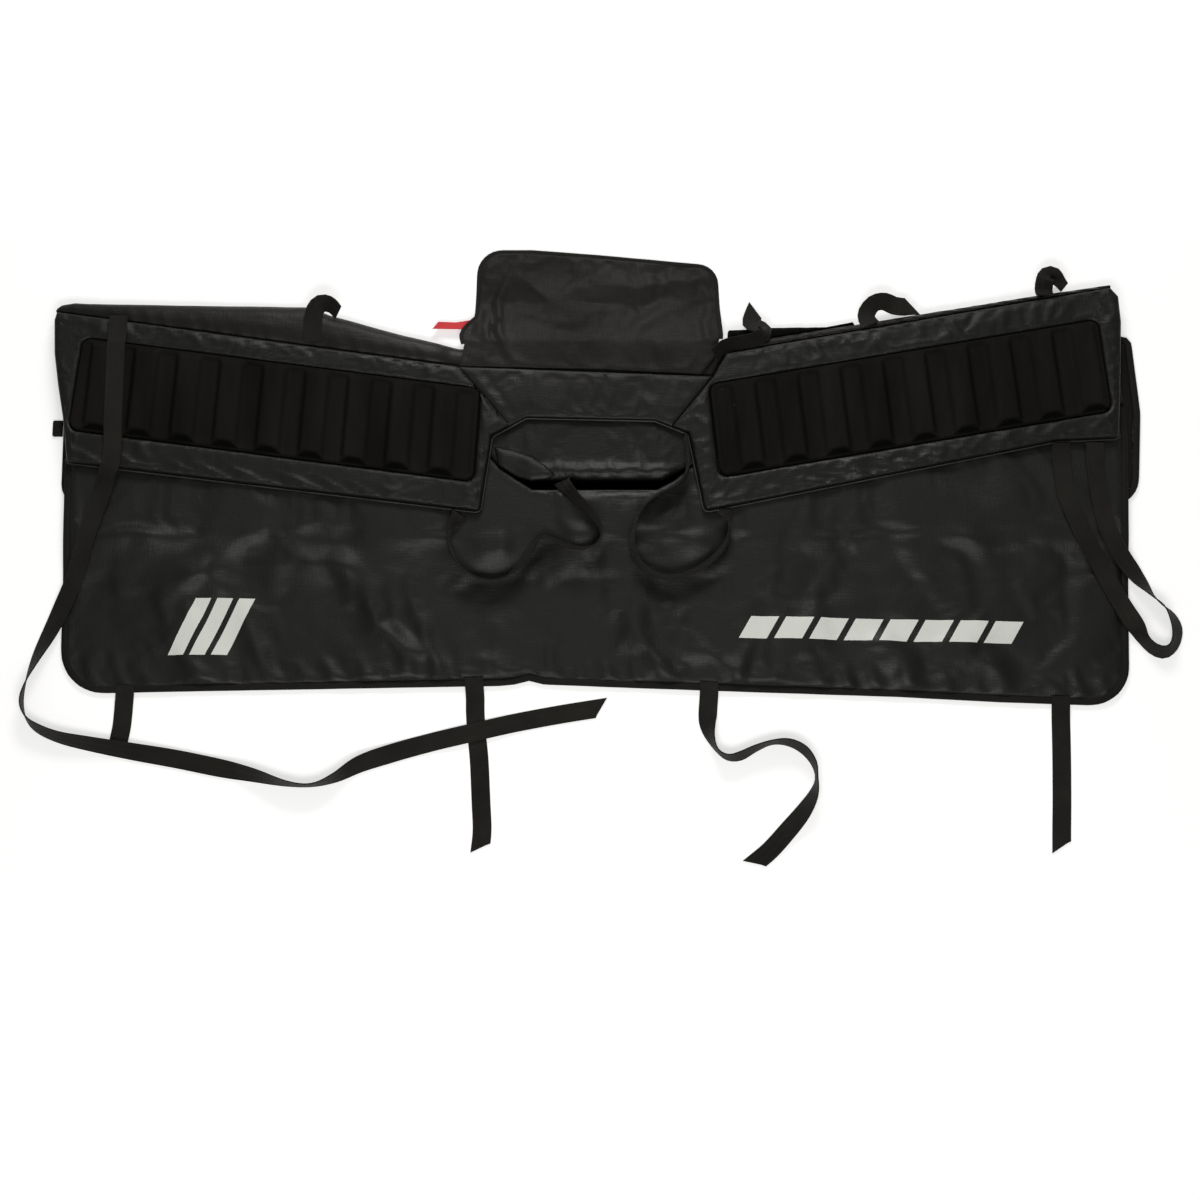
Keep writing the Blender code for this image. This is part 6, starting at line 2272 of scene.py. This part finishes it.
@dataclass
class LadderLocks:
    """The ladder locks under the hem and the webbing loops that carry them."""

    count: int = 4

    def dress(self, wardrobe: Wardrobe, nodes: dict[str, Item]) -> None:
        """Dress the nodes, whose shapes are right as they are.

        Args:
            wardrobe: the finishes.
            nodes: the frame's nodes.
        """
        for index in range(1, self.count + 1):
            wardrobe.dress(nodes[f"tie_buckle_{index}"], "lock_plastic", Slot.BUCKLE)
            wardrobe.dress(nodes[f"buckle_loop_{index}"], "strap_webbing", Slot.WEBBING)


@dataclass(frozen=True)
class Lamp:
    """A soft rectangular lamp aimed at a point."""

    name: str
    place: tuple[float, float, float]
    aim: tuple[float, float, float]
    size: Point
    watts: float
    colour: Colour = (1.0, 0.985, 0.95)

    def build(self) -> None:
        """Build the lamp."""
        light = bpy.data.lights.new(self.name, "AREA")
        light.shape = "RECTANGLE"
        light.size, light.size_y = self.size
        light.energy = self.watts
        light.color = self.colour
        item = bpy.data.objects.new(self.name, light)
        item.location = self.place
        item.rotation_euler = (Vector(self.aim) - Vector(self.place)).to_track_quat("-Z", "Y").to_euler()
        bpy.context.scene.collection.objects.link(item)


@dataclass
class Studio:
    """The plain pale floor, the soft lamps and the camera."""

    elevation: float = math.radians(78.0)
    distance: float = 3.0
    aim: tuple[float, float, float] = (0.005, -0.262, 0.0)
    half_width: float = 0.8118
    world_strength: float = 0.2
    floor_drop: float = 0.0002
    lamps: tuple[Lamp, ...] = (
        Lamp("key_lamp", (0.0, 1.7, 1.45), (0.0, -0.25, 0.0), (1.0, 0.6), 22.0),
        Lamp("front_lamp", (0.0, -1.5, 1.9), (0.0, -0.35, 0.0), (1.2, 0.6), 20.0),
    )

    def build_floor(self) -> None:
        """Build the floor, pale to the camera, with the object's soft shadow kept."""
        bm = bmesh.new()
        bmesh.ops.create_grid(bm, x_segments=1, y_segments=1, size=8.0)
        floor = finish_mesh("floor", bm, flat=True)
        material, tree, shader = start_material("pale_floor")
        rays = add_node(tree, "LightPath")
        seen = math_node(tree, "MAXIMUM", rays.outputs["Is Camera Ray"], rays.outputs["Is Glossy Ray"])
        seen = math_node(tree, "MAXIMUM", seen, rays.outputs["Is Transmission Ray"])
        glow = math_node(tree, "MULTIPLY", seen, 0.5)
        set_inputs(tree, shader, {"Base Color": (0.8, 0.8, 0.8, 1.0), "Roughness": 0.9,
                                  "Specular IOR Level": 0.1, "Emission Strength": glow,
                                  "Emission Color": (1.0, 1.0, 1.0, 1.0)})
        floor.data.materials.append(material)
        floor.location.z = -self.floor_drop

    def build_world(self) -> None:
        """Build a plain pale surround."""
        world = bpy.data.worlds.new("surround")
        world.use_nodes = True
        tree = world.node_tree
        rays = add_node(tree, "LightPath")
        strength = span(tree, rays.outputs["Is Camera Ray"], 0.0, 1.0, self.world_strength, 1.0)
        set_inputs(tree, tree.nodes["Background"], {"Color": (1.0, 1.0, 1.0, 1.0), "Strength": strength})
        bpy.context.scene.world = world

    def build_camera(self) -> None:
        """Build the camera at the photograph's angle."""
        camera = bpy.data.cameras.new("camera")
        camera.sensor_fit = "HORIZONTAL"
        camera.angle = 2.0 * math.atan(self.half_width / self.distance)
        item = bpy.data.objects.new("camera", camera)
        aim = Vector(self.aim)
        back = Vector((0.0, -math.cos(self.elevation), math.sin(self.elevation)))
        item.location = aim + back * self.distance
        item.rotation_euler = (math.pi / 2.0 - self.elevation, 0.0, 0.0)
        bpy.context.scene.collection.objects.link(item)
        bpy.context.scene.camera = item

    def build(self) -> None:
        """Build the whole set."""
        bpy.context.scene.view_settings.view_transform = "Standard"
        self.build_floor()
        self.build_world()
        self.build_camera()
        for lamp in self.lamps:
            lamp.build()


def main() -> None:
    """Build the looks of the whole pad."""
    logging.basicConfig(level=logging.INFO, format="%(message)s")
    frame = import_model()
    Studio().build()
    wardrobe = Wardrobe()
    carriers = BedSide().build(wardrobe)
    carriers += RoadSide().build(wardrobe)
    carriers += Backing().build(wardrobe)
    carriers += CrownEdge().build(wardrobe)
    carriers += Yoke().build(wardrobe)
    carriers += HandleFlap().build(wardrobe)
    Webbing().build(wardrobe, carriers)
    LadderLocks().dress(wardrobe, frame["nodes"])


if __name__ == "__main__":
    main()
